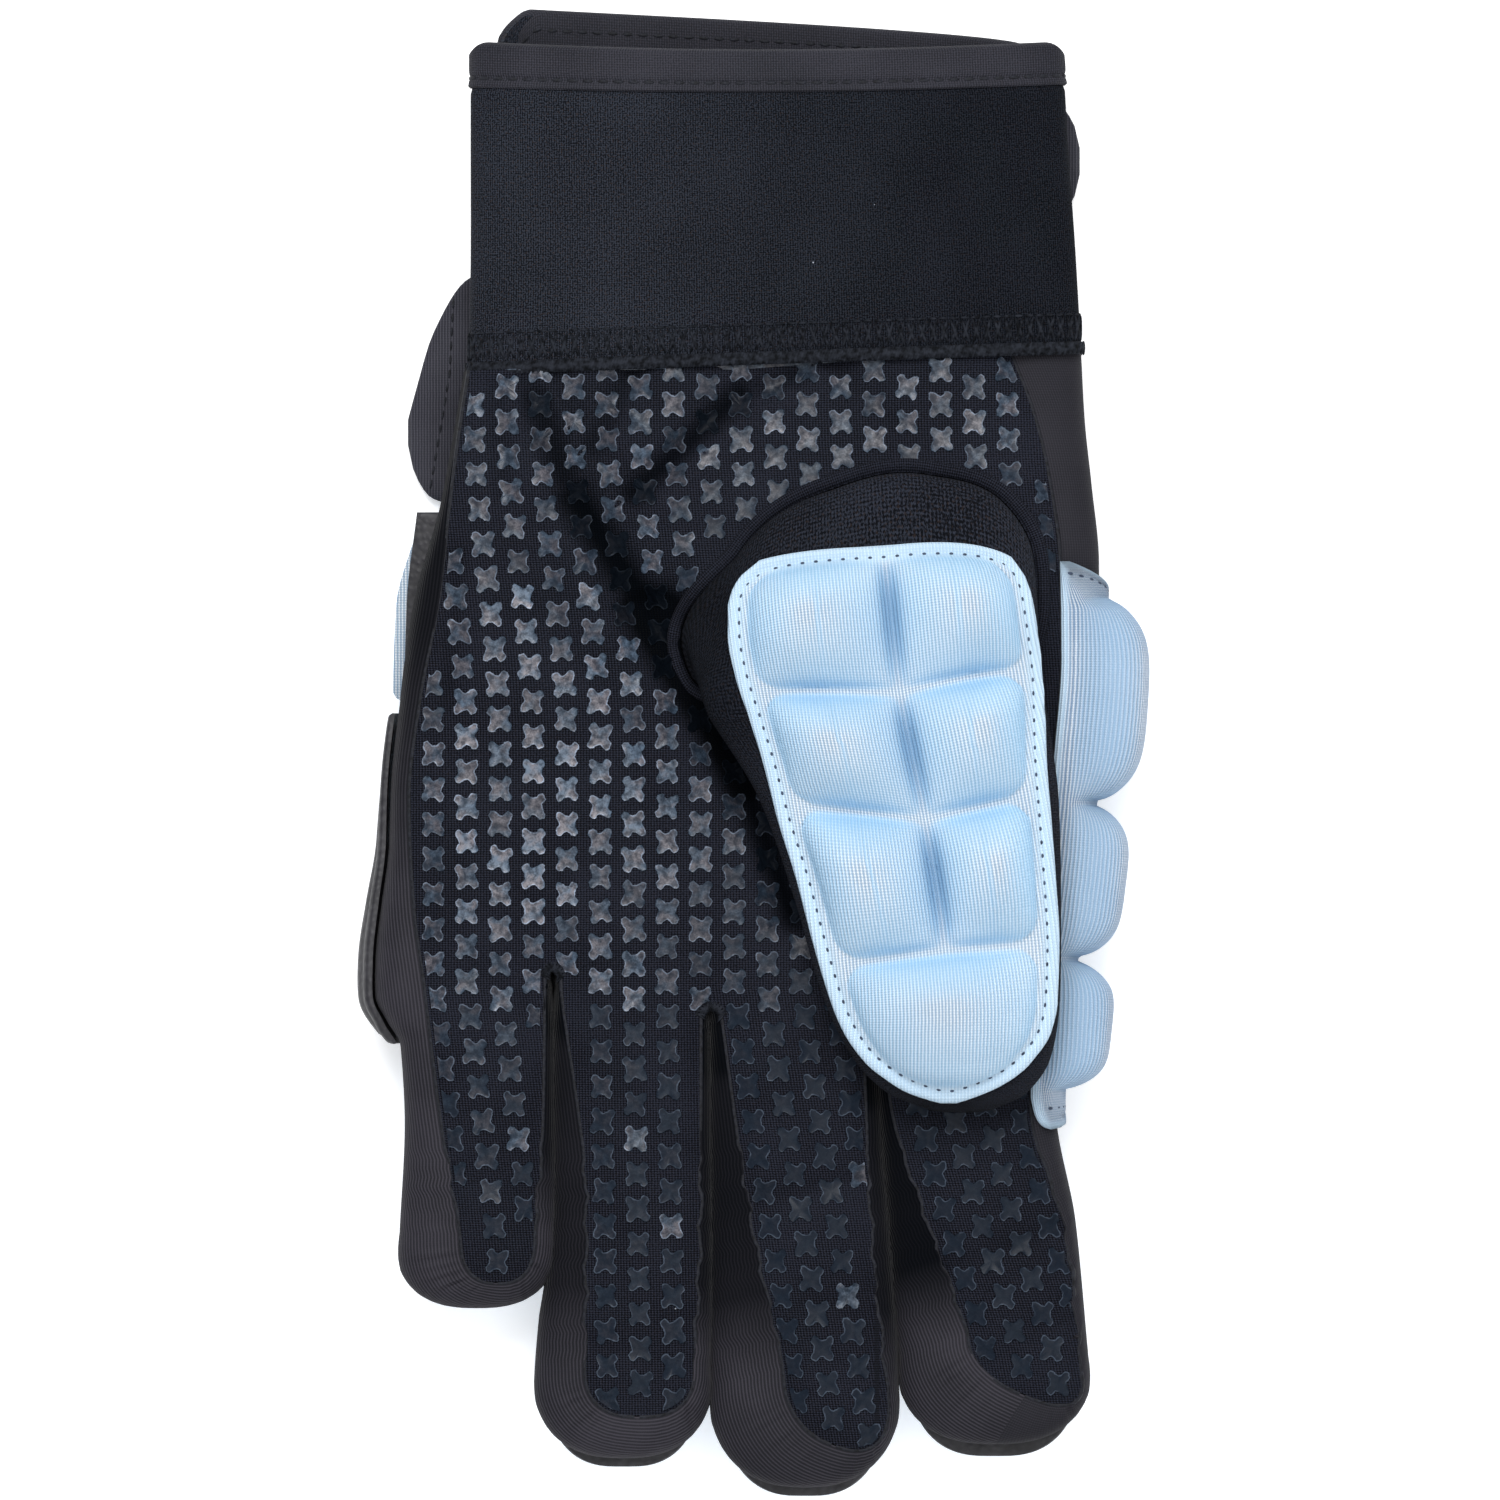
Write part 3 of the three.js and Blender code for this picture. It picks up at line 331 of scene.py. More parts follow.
# %% The thumb hole
HOLE = {
    "turn": [0, 12, 31, 60, 109, 163, 199, 208, 217, 236, 269, 300, 325, 345, 360],
    "radius": [29.9, 30.0, 28.4, 22.3, 17.4, 21.0, 32.2, 32.6, 30.2, 24.2, 20.4, 23.1, 28.4, 30.2, 29.9],
}
HOLE_CENTRE = (18.4, 28.0)
HOLE_HALF = (30.1, 20.4)
HOLE_SQUARE = 2.6


def hole_outline(grow, turn=None):
    """The oval hole for the thumb, skewed by the pull of the folded thumb, grown outwards by a distance."""
    if turn is None:
        turn = np.linspace(0, 360, 96, endpoint=False)
    across = HOLE_HALF[0] * power(cosine(turn), HOLE_SQUARE)
    down = HOLE_HALF[1] * power(sine(turn), HOLE_SQUARE)
    way = np.degrees(np.arctan2(down, across)) % 360
    radius = along(HOLE, "radius", way) + grow
    return np.stack([HOLE_CENTRE[0] + radius * cosine(way), HOLE_CENTRE[1] + radius * sine(way)], -1)


# %% [markdown]
# Height of the palm
# The palm sheet is nearly level, rolls down to its seam and is dented by the folds that the folded thumb
# pulls into it. Each fold is a short line with a rise and a width, and a valley has a negative rise. The
# long ones are also in the solids; the short ones are only creases in the cloth.

# %% Folds and the height of the palm
PALM_FOLDS = [
    {"start": (-42, 70), "end": (-37, 60), "rise": -1.2, "width": 2.4},
    {"start": (-37, 60), "end": (-30, 43), "rise": -2.3, "width": 2.8},
    {"start": (-30, 43), "end": (-19.5, 27), "rise": -3.4, "width": 3.4},
    {"start": (-18.5, 25), "end": (-8, 8), "rise": -6.0, "width": 3.8},
    {"start": (-15, 24), "end": (-7, 9), "rise": -4.8, "width": 4.4},
    {"start": (-8, 8), "end": (-1, -6), "rise": -5.0, "width": 3.4},
    {"start": (-1, -6), "end": (7, -28), "rise": -3.0, "width": 2.8},
    {"start": (-35, 46), "end": (-27, 24), "rise": 1.8, "width": 4.0},
    {"start": (-27, 24), "end": (-13, -4), "rise": 1.5, "width": 4.0},
    {"start": (-2, 61), "end": (-20, 44), "rise": -2.8, "width": 2.4},
    {"start": (8, 64), "end": (-2, 61), "rise": -1.6, "width": 2.0},
    {"start": (-20, 66), "end": (-27, 52), "rise": -1.6, "width": 2.2},
    {"start": (-22, 54), "end": (-12, 36), "rise": 1.2, "width": 3.8},
    {"start": (-44, 62), "end": (-42, 44), "rise": -1.1, "width": 2.6},
    {"start": (-34, 66), "end": (-29, 56), "rise": -1.0, "width": 2.4},
    {"start": (-14, 64), "end": (-8, 52), "rise": 0.6, "width": 2.6},
    {"start": (14, 66), "end": (24, 56), "rise": -0.9, "width": 2.4},
    {"start": (-50, 34), "end": (-52, 8), "rise": -1.0, "width": 2.2},
    {"start": (-47, 34), "end": (-48, 20), "rise": 0.4, "width": 2.4},
    {"start": (-47, -36), "end": (-38, -43), "rise": -0.8, "width": 2.2},
    {"start": (-22, -36), "end": (-14, -46), "rise": -0.6, "width": 2.4},
    {"start": (8, -44), "end": (14, -56), "rise": -0.6, "width": 2.4},
    {"start": (-4, -70), "end": (-20, -63), "rise": -0.7, "width": 2.6},
    {"start": (1, -76), "end": (18, -72), "rise": -1.0, "width": 2.2},
    {"start": (2, -97), "end": (22, -90), "rise": -0.7, "width": 2.6},
    {"start": (-28, -100), "end": (-10, -104), "rise": -0.7, "width": 2.6},
    {"start": (-50, -72), "end": (-38, -75), "rise": -0.7, "width": 2.4},
    {"start": (32, -88), "end": (54, -80), "rise": -0.9, "width": 2.6},
    {"start": (40, -104), "end": (54, -96), "rise": -0.7, "width": 2.4},
]


def distance_to_line(x, y, start, end):
    """Distance in plan from places to a short straight line."""
    dx, dy = end[0] - start[0], end[1] - start[1]
    t = np.clip(((x - start[0]) * dx + (y - start[1]) * dy) / max(dx * dx + dy * dy, 1e-9), 0, 1)
    return np.hypot(x - start[0] - t * dx, y - start[1] - t * dy)


def distance_to_path(x, y, path):
    """Distance in plan from places to a path of many points."""
    best = np.full(np.shape(x), np.inf)
    for start, end in zip(path[:-1], path[1:]):
        best = np.minimum(best, distance_to_line(x, y, start, end))
    return best


seam_line = np.concatenate([path[:, 1] for path in STRIPS.values()])
coarse_seam = seam_line[::4]
hole_line = hole_outline(0)
hole_line = np.concatenate([hole_line, hole_line[:1]])
HEM_RISE = 1.2
HEM_SPREAD = 4.5


def fold_heights(x, y):
    """The valleys and the ridges of the folds over a place in plan."""
    valleys, ridges = np.zeros(np.shape(x)), np.zeros(np.shape(x))
    for fold in PALM_FOLDS:
        distance = distance_to_line(x, y, fold["start"], fold["end"])
        rise = fold["rise"] * np.exp(-(distance / fold["width"]) ** 2)
        valleys = np.minimum(valleys, rise)
        ridges = np.maximum(ridges, rise)
    return valleys, ridges


def palm_height(x, y):
    """Height of the palm cloth over a place in plan."""
    edge = EDGE_DROP * np.exp(-distance_to_path(x, y, coarse_seam) / EDGE_ROLL)
    valleys, ridges = fold_heights(x, y)
    hem = HEM_RISE * np.exp(-(distance_to_path(x, y, hole_line) / HEM_SPREAD) ** 2)
    return along(HEIGHTS, "top", y) - edge + valleys + ridges + hem


middle_height = float(palm_height(np.array([-40.0]), np.array([-20.0]))[0])
print("palm height at the middle:", round(middle_height, 2), "mm")

# %% [markdown]
# Sheets of cloth as grids
# A flat grid is the simplest cloth: every corner is laid on its place on the hand, and the UV map keeps the
# cloth's own distances in millimetres, so ribs and stitches keep their real size wherever the sheet bends.
# Solidify then gives it the thickness of the fabric.

# %% Helpers for sheets
def only(piece):
    """Selects one piece and makes it the active one."""
    bpy.ops.object.select_all(action="DESELECT")
    piece.select_set(True)
    bpy.context.view_layer.objects.active = piece


def run_along(places, axis):
    """Distance travelled across a grid of places, averaged over its other direction."""
    steps = np.linalg.norm(np.diff(places, axis=axis), axis=-1).mean(axis=1 - axis)
    return np.concatenate([[0], np.cumsum(steps)])


def row_lengths(places):
    """Distance from the first column to every place of a grid, row by row."""
    steps = np.linalg.norm(np.diff(places, axis=1), axis=-1)
    return np.concatenate([0 * steps[:, :1], np.cumsum(steps, 1)], 1)


def lay_sheet(name, places, cloth=None, closed=False):
    """Adds a grid and lays its corners on places (rows, columns, 3) in millimetres.

    cloth holds the distances across and lengthwise that the UV map keeps.
    """
    rows, columns = places.shape[:2]
    across, lengthwise = cloth if cloth else (run_along(places, 1), run_along(places, 0))
    across = np.broadcast_to(across, (rows, columns))
    lengthwise = np.broadcast_to(np.reshape(lengthwise, (rows, -1)), (rows, columns))
    bpy.ops.mesh.primitive_grid_add(x_subdivisions=columns - 1, y_subdivisions=rows - 1, size=1)
    piece = bpy.context.object
    piece.name = piece.data.name = name
    piece.data.vertices.foreach_set("co", (places * MM).reshape(-1))
    corners = np.zeros(len(piece.data.loops), int)
    piece.data.loops.foreach_get("vertex_index", corners)
    flat = np.stack([across.reshape(-1)[corners], lengthwise.reshape(-1)[corners]], -1)
    piece.data.uv_layers[0].name = "cloth"
    piece.data.uv_layers["cloth"].uv.foreach_set("vector", flat.reshape(-1))
    piece.data.update()
    if closed:
        merge_seam(piece)
    return piece


def edit(piece, step, **settings):
    """Runs one step of edit mode on the whole mesh of a piece."""
    only(piece)
    bpy.ops.object.mode_set(mode="EDIT")
    bpy.ops.mesh.select_all(action="SELECT")
    step(**settings)
    bpy.ops.object.mode_set(mode="OBJECT")


def merge_seam(piece):
    """Joins the two edges of a rolled sheet where they meet."""
    edit(piece, bpy.ops.mesh.remove_doubles, threshold=0.01 * MM)


def fill_ends(piece):
    """Closes the open ends of a tube."""
    edit(piece, bpy.ops.mesh.fill_holes, sides=0)


def turn_over(piece):
    """Makes the faces of an open sheet look the other way."""
    edit(piece, bpy.ops.mesh.flip_normals)


def face_outwards(piece):
    """Makes the faces of a body or a tube look outwards."""
    edit(piece, bpy.ops.mesh.normals_make_consistent, inside=False)
    middle = vertex_places(piece).mean(0)
    faces = piece.data.polygons
    outward = sum(
        face.area * float(np.dot(face.normal, np.array(face.center) / MM - middle)) for face in faces)
    if outward < 0:
        turn_over(piece)


def apply_modifier(piece, kind, **settings):
    """Adds a modifier, sets it and applies it."""
    only(piece)
    bpy.ops.object.modifier_add(type=kind)
    modifier = piece.modifiers[-1]
    for setting, value in settings.items():
        setattr(modifier, setting, value)
    bpy.ops.object.modifier_apply(modifier=modifier.name)


def thicken(piece, thickness):
    """Gives a sheet its fabric thickness, on the side away from its faces."""
    apply_modifier(piece, "SOLIDIFY", thickness=thickness * MM, offset=-1)


def smooth(piece, angle=50):
    only(piece)
    bpy.ops.object.shade_smooth_by_angle(angle=math.radians(angle))


def vertex_places(piece):
    """Every corner of a piece, in millimetres."""
    places = np.zeros(len(piece.data.vertices) * 3)
    piece.data.vertices.foreach_get("co", places)
    return places.reshape(-1, 3) / MM


def set_places(piece, places):
    piece.data.vertices.foreach_set("co", (places * MM).reshape(-1))
    piece.data.update()


def give_values(piece, name, values):
    """Stores one number a corner under a name, for the materials to read."""
    attribute = piece.data.attributes.new(name, "FLOAT", "POINT")
    attribute.data.foreach_set("value", np.asarray(values, np.float32))


finished = []


def dress(piece, material, slot, *nodes):
    """The last step for every piece: its material and the solids it stands for; its slot in the record is not
    used.
    """
    piece.data.materials.clear()
    piece.data.materials.append(material)
    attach(piece, "root")
    if nodes:
        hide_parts(*nodes)
    finished.append(piece.name)
    print(piece.name + ":", len(piece.data.polygons), "faces")
    return piece


# %% [markdown]
# Shader groups
# Knitted cloth is the main finish here, in four scales: the ribbed lycra, the smooth knit of the palm, the
# laminated blue knit and the coarse thumb mesh. One group draws ribs and loops from the cloth's own UV map,
# and each material sets how wide and how deep they are. Two more groups give cloudy shading and the few
# pale flecks of lint that black fabric always carries.

# %% Helpers for shader nodes
def linear(red, green, blue):
    """A colour measured on a screen, from 0 to 255, as the linear colour a shader wants."""
    channels = [value / 255 for value in (red, green, blue)]
    return tuple(c / 12.92 if c <= 0.04045 else ((c + 0.055) / 1.055) ** 2.4 for c in channels) + (1,)


def put(tree, kind, inputs=None, **settings):
    """Adds a node, sets its settings and links or fills its inputs."""
    node = tree.nodes.new(kind)
    for setting, value in settings.items():
        setattr(node, setting, value)
    for socket, value in (inputs or {}).items():
        if isinstance(value, bpy.types.NodeSocket):
            tree.links.new(value, node.inputs[socket])
        else:
            node.inputs[socket].default_value = value
    return node


def calc(tree, operation, a, b=0.0):
    """One step of arithmetic."""
    return put(tree, "ShaderNodeMath", {0: a, 1: b}, operation=operation).outputs[0]


def blend_colours(tree, factor, a, b):
    """Mixes two colours."""
    node = put(tree, "ShaderNodeMix", {"Factor": factor, 6: a, 7: b}, data_type="RGBA")
    return node.outputs[2]


def new_group(name, inputs, outputs):
    """An empty shader group. inputs and outputs are rows of name, socket type and default."""
    tree = bpy.data.node_groups.new(name, "ShaderNodeTree")
    for label, kind, default in inputs:
        socket = tree.interface.new_socket(label, in_out="INPUT", socket_type="NodeSocket" + kind)
        if default is not None:
            socket.default_value = default
    for label, kind in outputs:
        tree.interface.new_socket(label, in_out="OUTPUT", socket_type="NodeSocket" + kind)
    return tree, tree.nodes.new("NodeGroupInput"), tree.nodes.new("NodeGroupOutput")


def use_group(tree, group, inputs):
    return put(tree, "ShaderNodeGroup", inputs, node_tree=group)


def new_material(name):
    """A material with its node tree and its shader."""
    material = bpy.data.materials.new(name)
    material.use_nodes = True
    return material, material.node_tree, material.node_tree.nodes["Principled BSDF"]


# %% The knit group: ribs across the cloth and loops along it
knit_group, entry, leave = new_group(
    "knit",
    [("Cloth", "Vector", None), ("Rib", "Float", 0.8), ("Loop", "Float", 0.6), ("Loop depth", "Float", 0.4),
     ("Wander", "Float", 0.15)],
    [("Height", "Float"), ("Thread", "Float")],
)
cloth_place = entry.outputs["Cloth"]
wander = put(knit_group, "ShaderNodeTexNoise", {"Vector": cloth_place, "Scale": 0.35, "Detail": 2.0})
centred = calc(knit_group, "SUBTRACT", wander.outputs["Fac"], 0.5)
offset = calc(knit_group, "MULTIPLY", centred, entry.outputs["Wander"])
cloth = put(knit_group, "ShaderNodeSeparateXYZ", {0: cloth_place})
turns = calc(knit_group, "DIVIDE", calc(knit_group, "ADD", cloth.outputs["X"], offset), entry.outputs["Rib"])
wave = calc(knit_group, "SINE", calc(knit_group, "MULTIPLY", turns, 2 * math.pi))
rib = calc(knit_group, "ADD", calc(knit_group, "MULTIPLY", wave, 0.5), 0.5)
lean = calc(knit_group, "MULTIPLY", calc(knit_group, "ABSOLUTE", wave), 0.35)
courses = calc(knit_group, "ADD", calc(knit_group, "DIVIDE", cloth.outputs["Y"], entry.outputs["Loop"]), lean)
loop = calc(knit_group, "SINE", calc(knit_group, "MULTIPLY", courses, 2 * math.pi))
loop = calc(knit_group, "MULTIPLY", calc(knit_group, "MULTIPLY", loop, 0.5), entry.outputs["Loop depth"])
height = calc(knit_group, "ADD", rib, loop)
thread = put(knit_group, "ShaderNodeMapRange", {"Value": height, "From Min": 0.1, "From Max": 1.1})
knit_group.links.new(height, leave.inputs["Height"])
knit_group.links.new(thread.outputs["Result"], leave.inputs["Thread"])

# %% The cloud and lint groups
cloud_group, entry, leave = new_group(
    "cloudy shading", [("Size", "Float", 12.0), ("Strength", "Float", 1.0)], [("Cloud", "Float")])
place = put(cloud_group, "ShaderNodeTexCoord")
scale = calc(cloud_group, "DIVIDE", 1 / MM, entry.outputs["Size"])
spot = place.outputs["Object"]
clouds = put(cloud_group, "ShaderNodeTexNoise", {"Vector": spot, "Scale": scale, "Detail": 3.0})
centred = calc(cloud_group, "SUBTRACT", clouds.outputs["Fac"], 0.5)
spread = calc(cloud_group, "MULTIPLY", calc(cloud_group, "MULTIPLY", centred, 2.4), entry.outputs["Strength"])
cloud = put(cloud_group, "ShaderNodeClamp", {"Value": calc(cloud_group, "ADD", spread, 0.5)})
cloud_group.links.new(cloud.outputs["Result"], leave.inputs["Cloud"])

lint_group, entry, leave = new_group(
    "lint", [("Spacing", "Float", 3.0), ("Amount", "Float", 0.06)], [("Lint", "Float")])
place = put(lint_group, "ShaderNodeTexCoord")
scale = calc(lint_group, "DIVIDE", 1 / MM, entry.outputs["Spacing"])
cells = put(lint_group, "ShaderNodeTexVoronoi", {"Vector": place.outputs["Object"], "Scale": scale})
fleck = calc(lint_group, "LESS_THAN", cells.outputs["Distance"], 0.05)
pick = put(lint_group, "ShaderNodeSeparateColor", {0: cells.outputs["Color"]})
chosen = calc(lint_group, "LESS_THAN", pick.outputs[0], entry.outputs["Amount"])
lint_group.links.new(calc(lint_group, "MULTIPLY", fleck, chosen), leave.inputs["Lint"])
print("groups:", [group.name for group in bpy.data.node_groups])

# %% [markdown]
# Fabric finishes
# All the fabrics are one recipe with different numbers: two colours for the hollows and the crowns of the
# knit, a cloudy change of tone, uneven dark yarn with a few warm threads, lint, a bump from the ribs and
# loops, and the soft sheen of stretch yarn at grazing angles. Where a piece stores painted shade, in deep
# folds, between the fingers and in other shaded places, the cloth is painted near black there and has less
# gloss, so the gloss is a coat, whose weight may change over the cloth. Sewing thread is a simpler recipe
# of the same kind.

# %% The fabric recipe
LINT_COLOUR = linear(150, 155, 165)
WARM_YARN = linear(52, 42, 38)
# The near-black colour that painted shade blends the cloth and the silicone towards.
PAINTED_SHADE_BLACK = linear(4, 6, 9)


def fabric(name, tones, knit_size, bump, roughness, sheen, fleck, specular=0.1, lint=0.0, cloud=0.5):
    """A knitted fabric. tones are the colours of hollows and crowns, bump is in millimetres.

    knit_size is the rib pitch, the loop pitch and the share of the loops.
    """
    hollow, crown = (linear(*tone) for tone in tones)
    rib, loop, loop_depth = knit_size
    material, tree, shader = new_material(name)
    cloth_map = put(tree, "ShaderNodeUVMap", uv_map="cloth")
    knit = use_group(tree, knit_group, {
        "Cloth": cloth_map.outputs["UV"], "Rib": rib, "Loop": loop, "Loop depth": loop_depth})
    tone = use_group(tree, cloud_group, {"Size": 14.0, "Strength": 1.0})
    lit = use_group(tree, lint_group, {"Spacing": 2.6, "Amount": lint})
    shade = calc(tree, "MULTIPLY", calc(tree, "SUBTRACT", tone.outputs["Cloud"], 0.5), cloud)
    speck = put(tree, "ShaderNodeTexNoise", {"Vector": cloth_map.outputs["UV"], "Scale": 3.4, "Detail": 2.0})
    uneven = calc(tree, "MULTIPLY", calc(tree, "SUBTRACT", speck.outputs["Fac"], 0.5), 5 * fleck)
    shade = calc(tree, "ADD", shade, uneven)
    mixed = put(tree, "ShaderNodeClamp", {"Value": calc(tree, "ADD", knit.outputs["Thread"], shade)})
    yarn = blend_colours(tree, mixed.outputs["Result"], hollow, crown)
    warm = put(tree, "ShaderNodeTexNoise", {"Vector": cloth_map.outputs["UV"], "Scale": 2.6, "Detail": 1.0})
    warm_part = calc(tree, "GREATER_THAN", warm.outputs["Fac"], 0.62)
    yarn = blend_colours(tree, calc(tree, "MULTIPLY", warm_part, 0.4 * fleck), yarn, WARM_YARN)
    # Painted shade: a stored share darkens the yarn towards near black and weakens the gloss.
    painted_shade = put(tree, "ShaderNodeAttribute", attribute_name="painted_shade")
    yarn = blend_colours(tree, painted_shade.outputs["Fac"], yarn, PAINTED_SHADE_BLACK)
    tree.links.new(blend_colours(tree, lit.outputs["Lint"], yarn, LINT_COLOUR), shader.inputs["Base Color"])
    gloss = calc(tree, "MULTIPLY", calc(tree, "SUBTRACT", 1.0, painted_shade.outputs["Fac"]), 2 * specular)
    tree.links.new(gloss, shader.inputs["Coat Weight"])
    shader.inputs["Coat Roughness"].default_value = roughness
    shader.inputs["Specular IOR Level"].default_value = 0
    relief = put(tree, "ShaderNodeBump", {"Height": knit.outputs["Height"], "Distance": bump * MM})
    tree.links.new(relief.outputs["Normal"], shader.inputs["Normal"])
    shader.inputs["Roughness"].default_value = roughness
    shader.inputs["Sheen Weight"].default_value = sheen
    shader.inputs["Sheen Roughness"].default_value = 0.4
    return material


grip_cloth = fabric(
    "grip_cloth", [(4, 5, 9), (42, 45, 56)], (0.5, 0.4, 1.2), bump=0.08, roughness=0.8, sheen=0.01,
    fleck=0.35, specular=0.05, lint=0.004, cloud=0.3)
stretch_cloth = fabric(
    "stretch_cloth", [(26, 26, 31), (56, 54, 61)], (0.6, 0.4, 0.12), bump=0.1, roughness=0.65, sheen=0.05,
    fleck=0.1, lint=0.006)
wrist_cloth = fabric(
    "wrist_cloth", [(28, 28, 33), (44, 43, 49)], (0.45, 0.45, 0.8), bump=0.04, roughness=0.7, sheen=0.04,
    fleck=0.1, lint=0.004)
thumb_cloth = fabric(
    "thumb_mesh_cloth", [(8, 10, 15), (44, 48, 58)], (0.5, 0.45, 1.0), bump=0.14, roughness=0.85, sheen=0.01,
    fleck=1.0, specular=0.06)
cuff_cloth = fabric(
    "cuff_neoprene_cloth", [(8, 10, 15), (46, 50, 59)], (0.42, 0.38, 0.6), bump=0.05, roughness=0.85,
    sheen=0.02, fleck=1.0, specular=0.06, lint=0.02, cloud=0.3)
binding_cloth = fabric(
    "binding_cloth", [(28, 29, 35), (54, 54, 62)], (0.45, 0.42, 0.8), bump=0.08, roughness=0.7, sheen=0.05,
    fleck=0.4, lint=0.006)
strap_cloth = fabric(
    "strap_cloth", [(38, 38, 45), (68, 68, 76)], (0.5, 0.42, 0.4), bump=0.1, roughness=0.7, sheen=0.08,
    fleck=0.1, lint=0.01)
print("fabrics:", len(bpy.data.materials))


# %% The threads
def sewing_thread(name, tones, roughness, specular, size=0.8, strength=1.0, bump=0.0):
    """A thread whose twist shows as a change of tone, and as a bump if it has one, both in millimetres."""
    material, tree, shader = new_material(name)
    twist = use_group(tree, cloud_group, {"Size": size, "Strength": strength})
    dark, light = (linear(*tone) for tone in tones)
    tree.links.new(blend_colours(tree, twist.outputs["Cloud"], dark, light), shader.inputs["Base Color"])
    if bump:
        relief = put(tree, "ShaderNodeBump", {"Height": twist.outputs["Cloud"], "Distance": bump * MM})
        tree.links.new(relief.outputs["Normal"], shader.inputs["Normal"])
    shader.inputs["Roughness"].default_value = roughness
    shader.inputs["Specular IOR Level"].default_value = specular
    return material


thread = sewing_thread("black_thread", [(8, 9, 13), (32, 34, 42)], 0.7, 0.25, bump=0.1)
hole_thread = sewing_thread("grey_thread", [(22, 32, 50), (64, 80, 104)], 0.7, 0.5)
seam_thread = sewing_thread("seam_thread", [(7, 9, 13), (36, 39, 46)], 0.8, 0.1, size=0.9, strength=1.4)

# %% [markdown]
# The palm sheet
# The palm is one piece of smooth navy-black knit from the wrist to the fingertips, with an oval hole where
# the thumb comes out. It is a fine grid at the height of the palm. A block in the shape of the pattern
# piece is then used as a cutter: Boolean keeps only the cloth inside it, as scissors would.

# %% Scissors: blocks to cut with
def cutter(outline, low, high):
    """A block over an outline in plan."""
    bpy.ops.mesh.primitive_circle_add(vertices=len(outline), fill_type="NGON")
    block = bpy.context.object
    set_places(block, np.column_stack([outline, np.full(len(outline), low)]))
    edit(block, bpy.ops.mesh.extrude_region_move, TRANSFORM_OT_translate={"value": (0, 0, (high - low) * MM)})
    face_outwards(block)
    return block


def cut(piece, outline, low, high, operation):
    """Keeps the cloth inside an outline (INTERSECT) or cuts a hole (DIFFERENCE)."""
    block = cutter(outline, low, high)
    apply_modifier(piece, "BOOLEAN", object=block, operation=operation, solver="EXACT")
    bpy.data.objects.remove(block)


# %% The palm sheet
GRIP_WALL = 1.3
SEAM_GAP = 0.2
GRIP_PITCH = 0.9
HAND_WIDTH = (-62, 60)
PALM_REACH = (5, 35)
SHADE_FROM = 0.5
SHADE_TO = 3.1
FOLD_SHADE = 0.95


def outline_of(column, inset, keep=2):
    """The whole outline of the hand along one of the three lines of the strips, moved inwards."""
    lines = [path[:, column] + unit(path[:, column] - path[:, 0]) * inset for path in STRIPS.values()]
    return np.concatenate([line[::keep] for line in lines])


FINGER_LEANS = {
    "y": [-125, -103, -80, -60, -40],
    "little": [6.2, 6.2, 4.6, 2.4, 0],
    "ring": [1.4, 1.1, 0.7, 0.3, 0],
    "middle": [13.0, 9.6, 6.0, 2.8, 0],
    "index": [18.0, 14.6, 8.0, 3.0, 0],
}
FINGER_SPANS = [("little", -62, -34), ("ring", -34, -7), ("middle", -7, 21), ("index", 21, 60)]
WRIST_LEAN = -4.6


def cloth_lean(x, y):
    """How far the lengthwise thread that starts at x at mid palm leans to the side."""
    t = ramp(y, 0, 60)
    lean = WRIST_LEAN * t * t * (3 - 2 * t)
    for name, start, end in FINGER_SPANS:
        inside = (x > start) & (x <= end) & (y < FINGER_LEANS["y"][-1])
        lean = np.where(inside, along(FINGER_LEANS, name, y), lean)
    return lean


def depth_share(x, y):
    """How deep in a fold the cloth lies, from 0 to 1."""
    return ramp(-fold_heights(x, y)[0], SHADE_FROM, SHADE_TO)


xs, ys = np.meshgrid(np.arange(*HAND_WIDTH, GRIP_PITCH), np.arange(71.5, -121, -GRIP_PITCH))
places = np.stack([xs, ys, palm_height(xs, ys)], -1)
grip_panel = lay_sheet("grip_panel_cloth", places, cloth=(xs - cloth_lean(xs, ys), ys))
turn_over(grip_panel)
thicken(grip_panel, GRIP_WALL)
cut(grip_panel, outline_of(1, SEAM_GAP), *PALM_REACH, "INTERSECT")
cut(grip_panel, hole_outline(0), *PALM_REACH, "DIFFERENCE")
smooth(grip_panel)
corners = vertex_places(grip_panel)
# Painted shade: the palm cloth is painted darker the deeper it lies in a fold.
give_values(grip_panel, "painted_shade", FOLD_SHADE * depth_share(corners[:, 0], corners[:, 1]))
dress(grip_panel, grip_cloth, "grip_fabric", "grip_panel")

# %% [markdown]
# Hems and seams
# The edge of the thumb hole is turned over and stitched down, so it stands a little proud. The palm seams
# are sewn with thread that pulls the two cloths together. Both are ropes: an oval section swept along a
# path.

# %% Ropes along a path
def rope(name, path, width, height, sides=8, closed=False, out=(0, 0, 1)):
    """An oval section swept along a path of points in millimetres, flat side square to the direction out."""
    if closed:
        path = np.concatenate([path, path[:1]])
    tangent = np.gradient(path, axis=0)
    if closed:
        tangent[0] = tangent[-1] = path[1] - path[-2]
    tangent = unit(tangent)
    side = unit(np.cross(tangent, out))
    up = np.cross(side, tangent)
    turn = np.linspace(0, 360, sides + 1)
    section = side[:, None] * (cosine(turn) * width / 2)[None, :, None]
    section = section + up[:, None] * (sine(turn) * height / 2)[None, :, None]
    piece = lay_sheet(name, path[:, None] + section, closed=True)
    if not closed:
        fill_ends(piece)
    face_outwards(piece)
    smooth(piece, 70)
    return piece


def join(name, pieces):
    """Makes several pieces one mesh."""
    only(pieces[0])
    for piece in pieces:
        piece.select_set(True)
    bpy.ops.object.join()
    joined = bpy.context.object
    joined.name = joined.data.name = name
    return joined


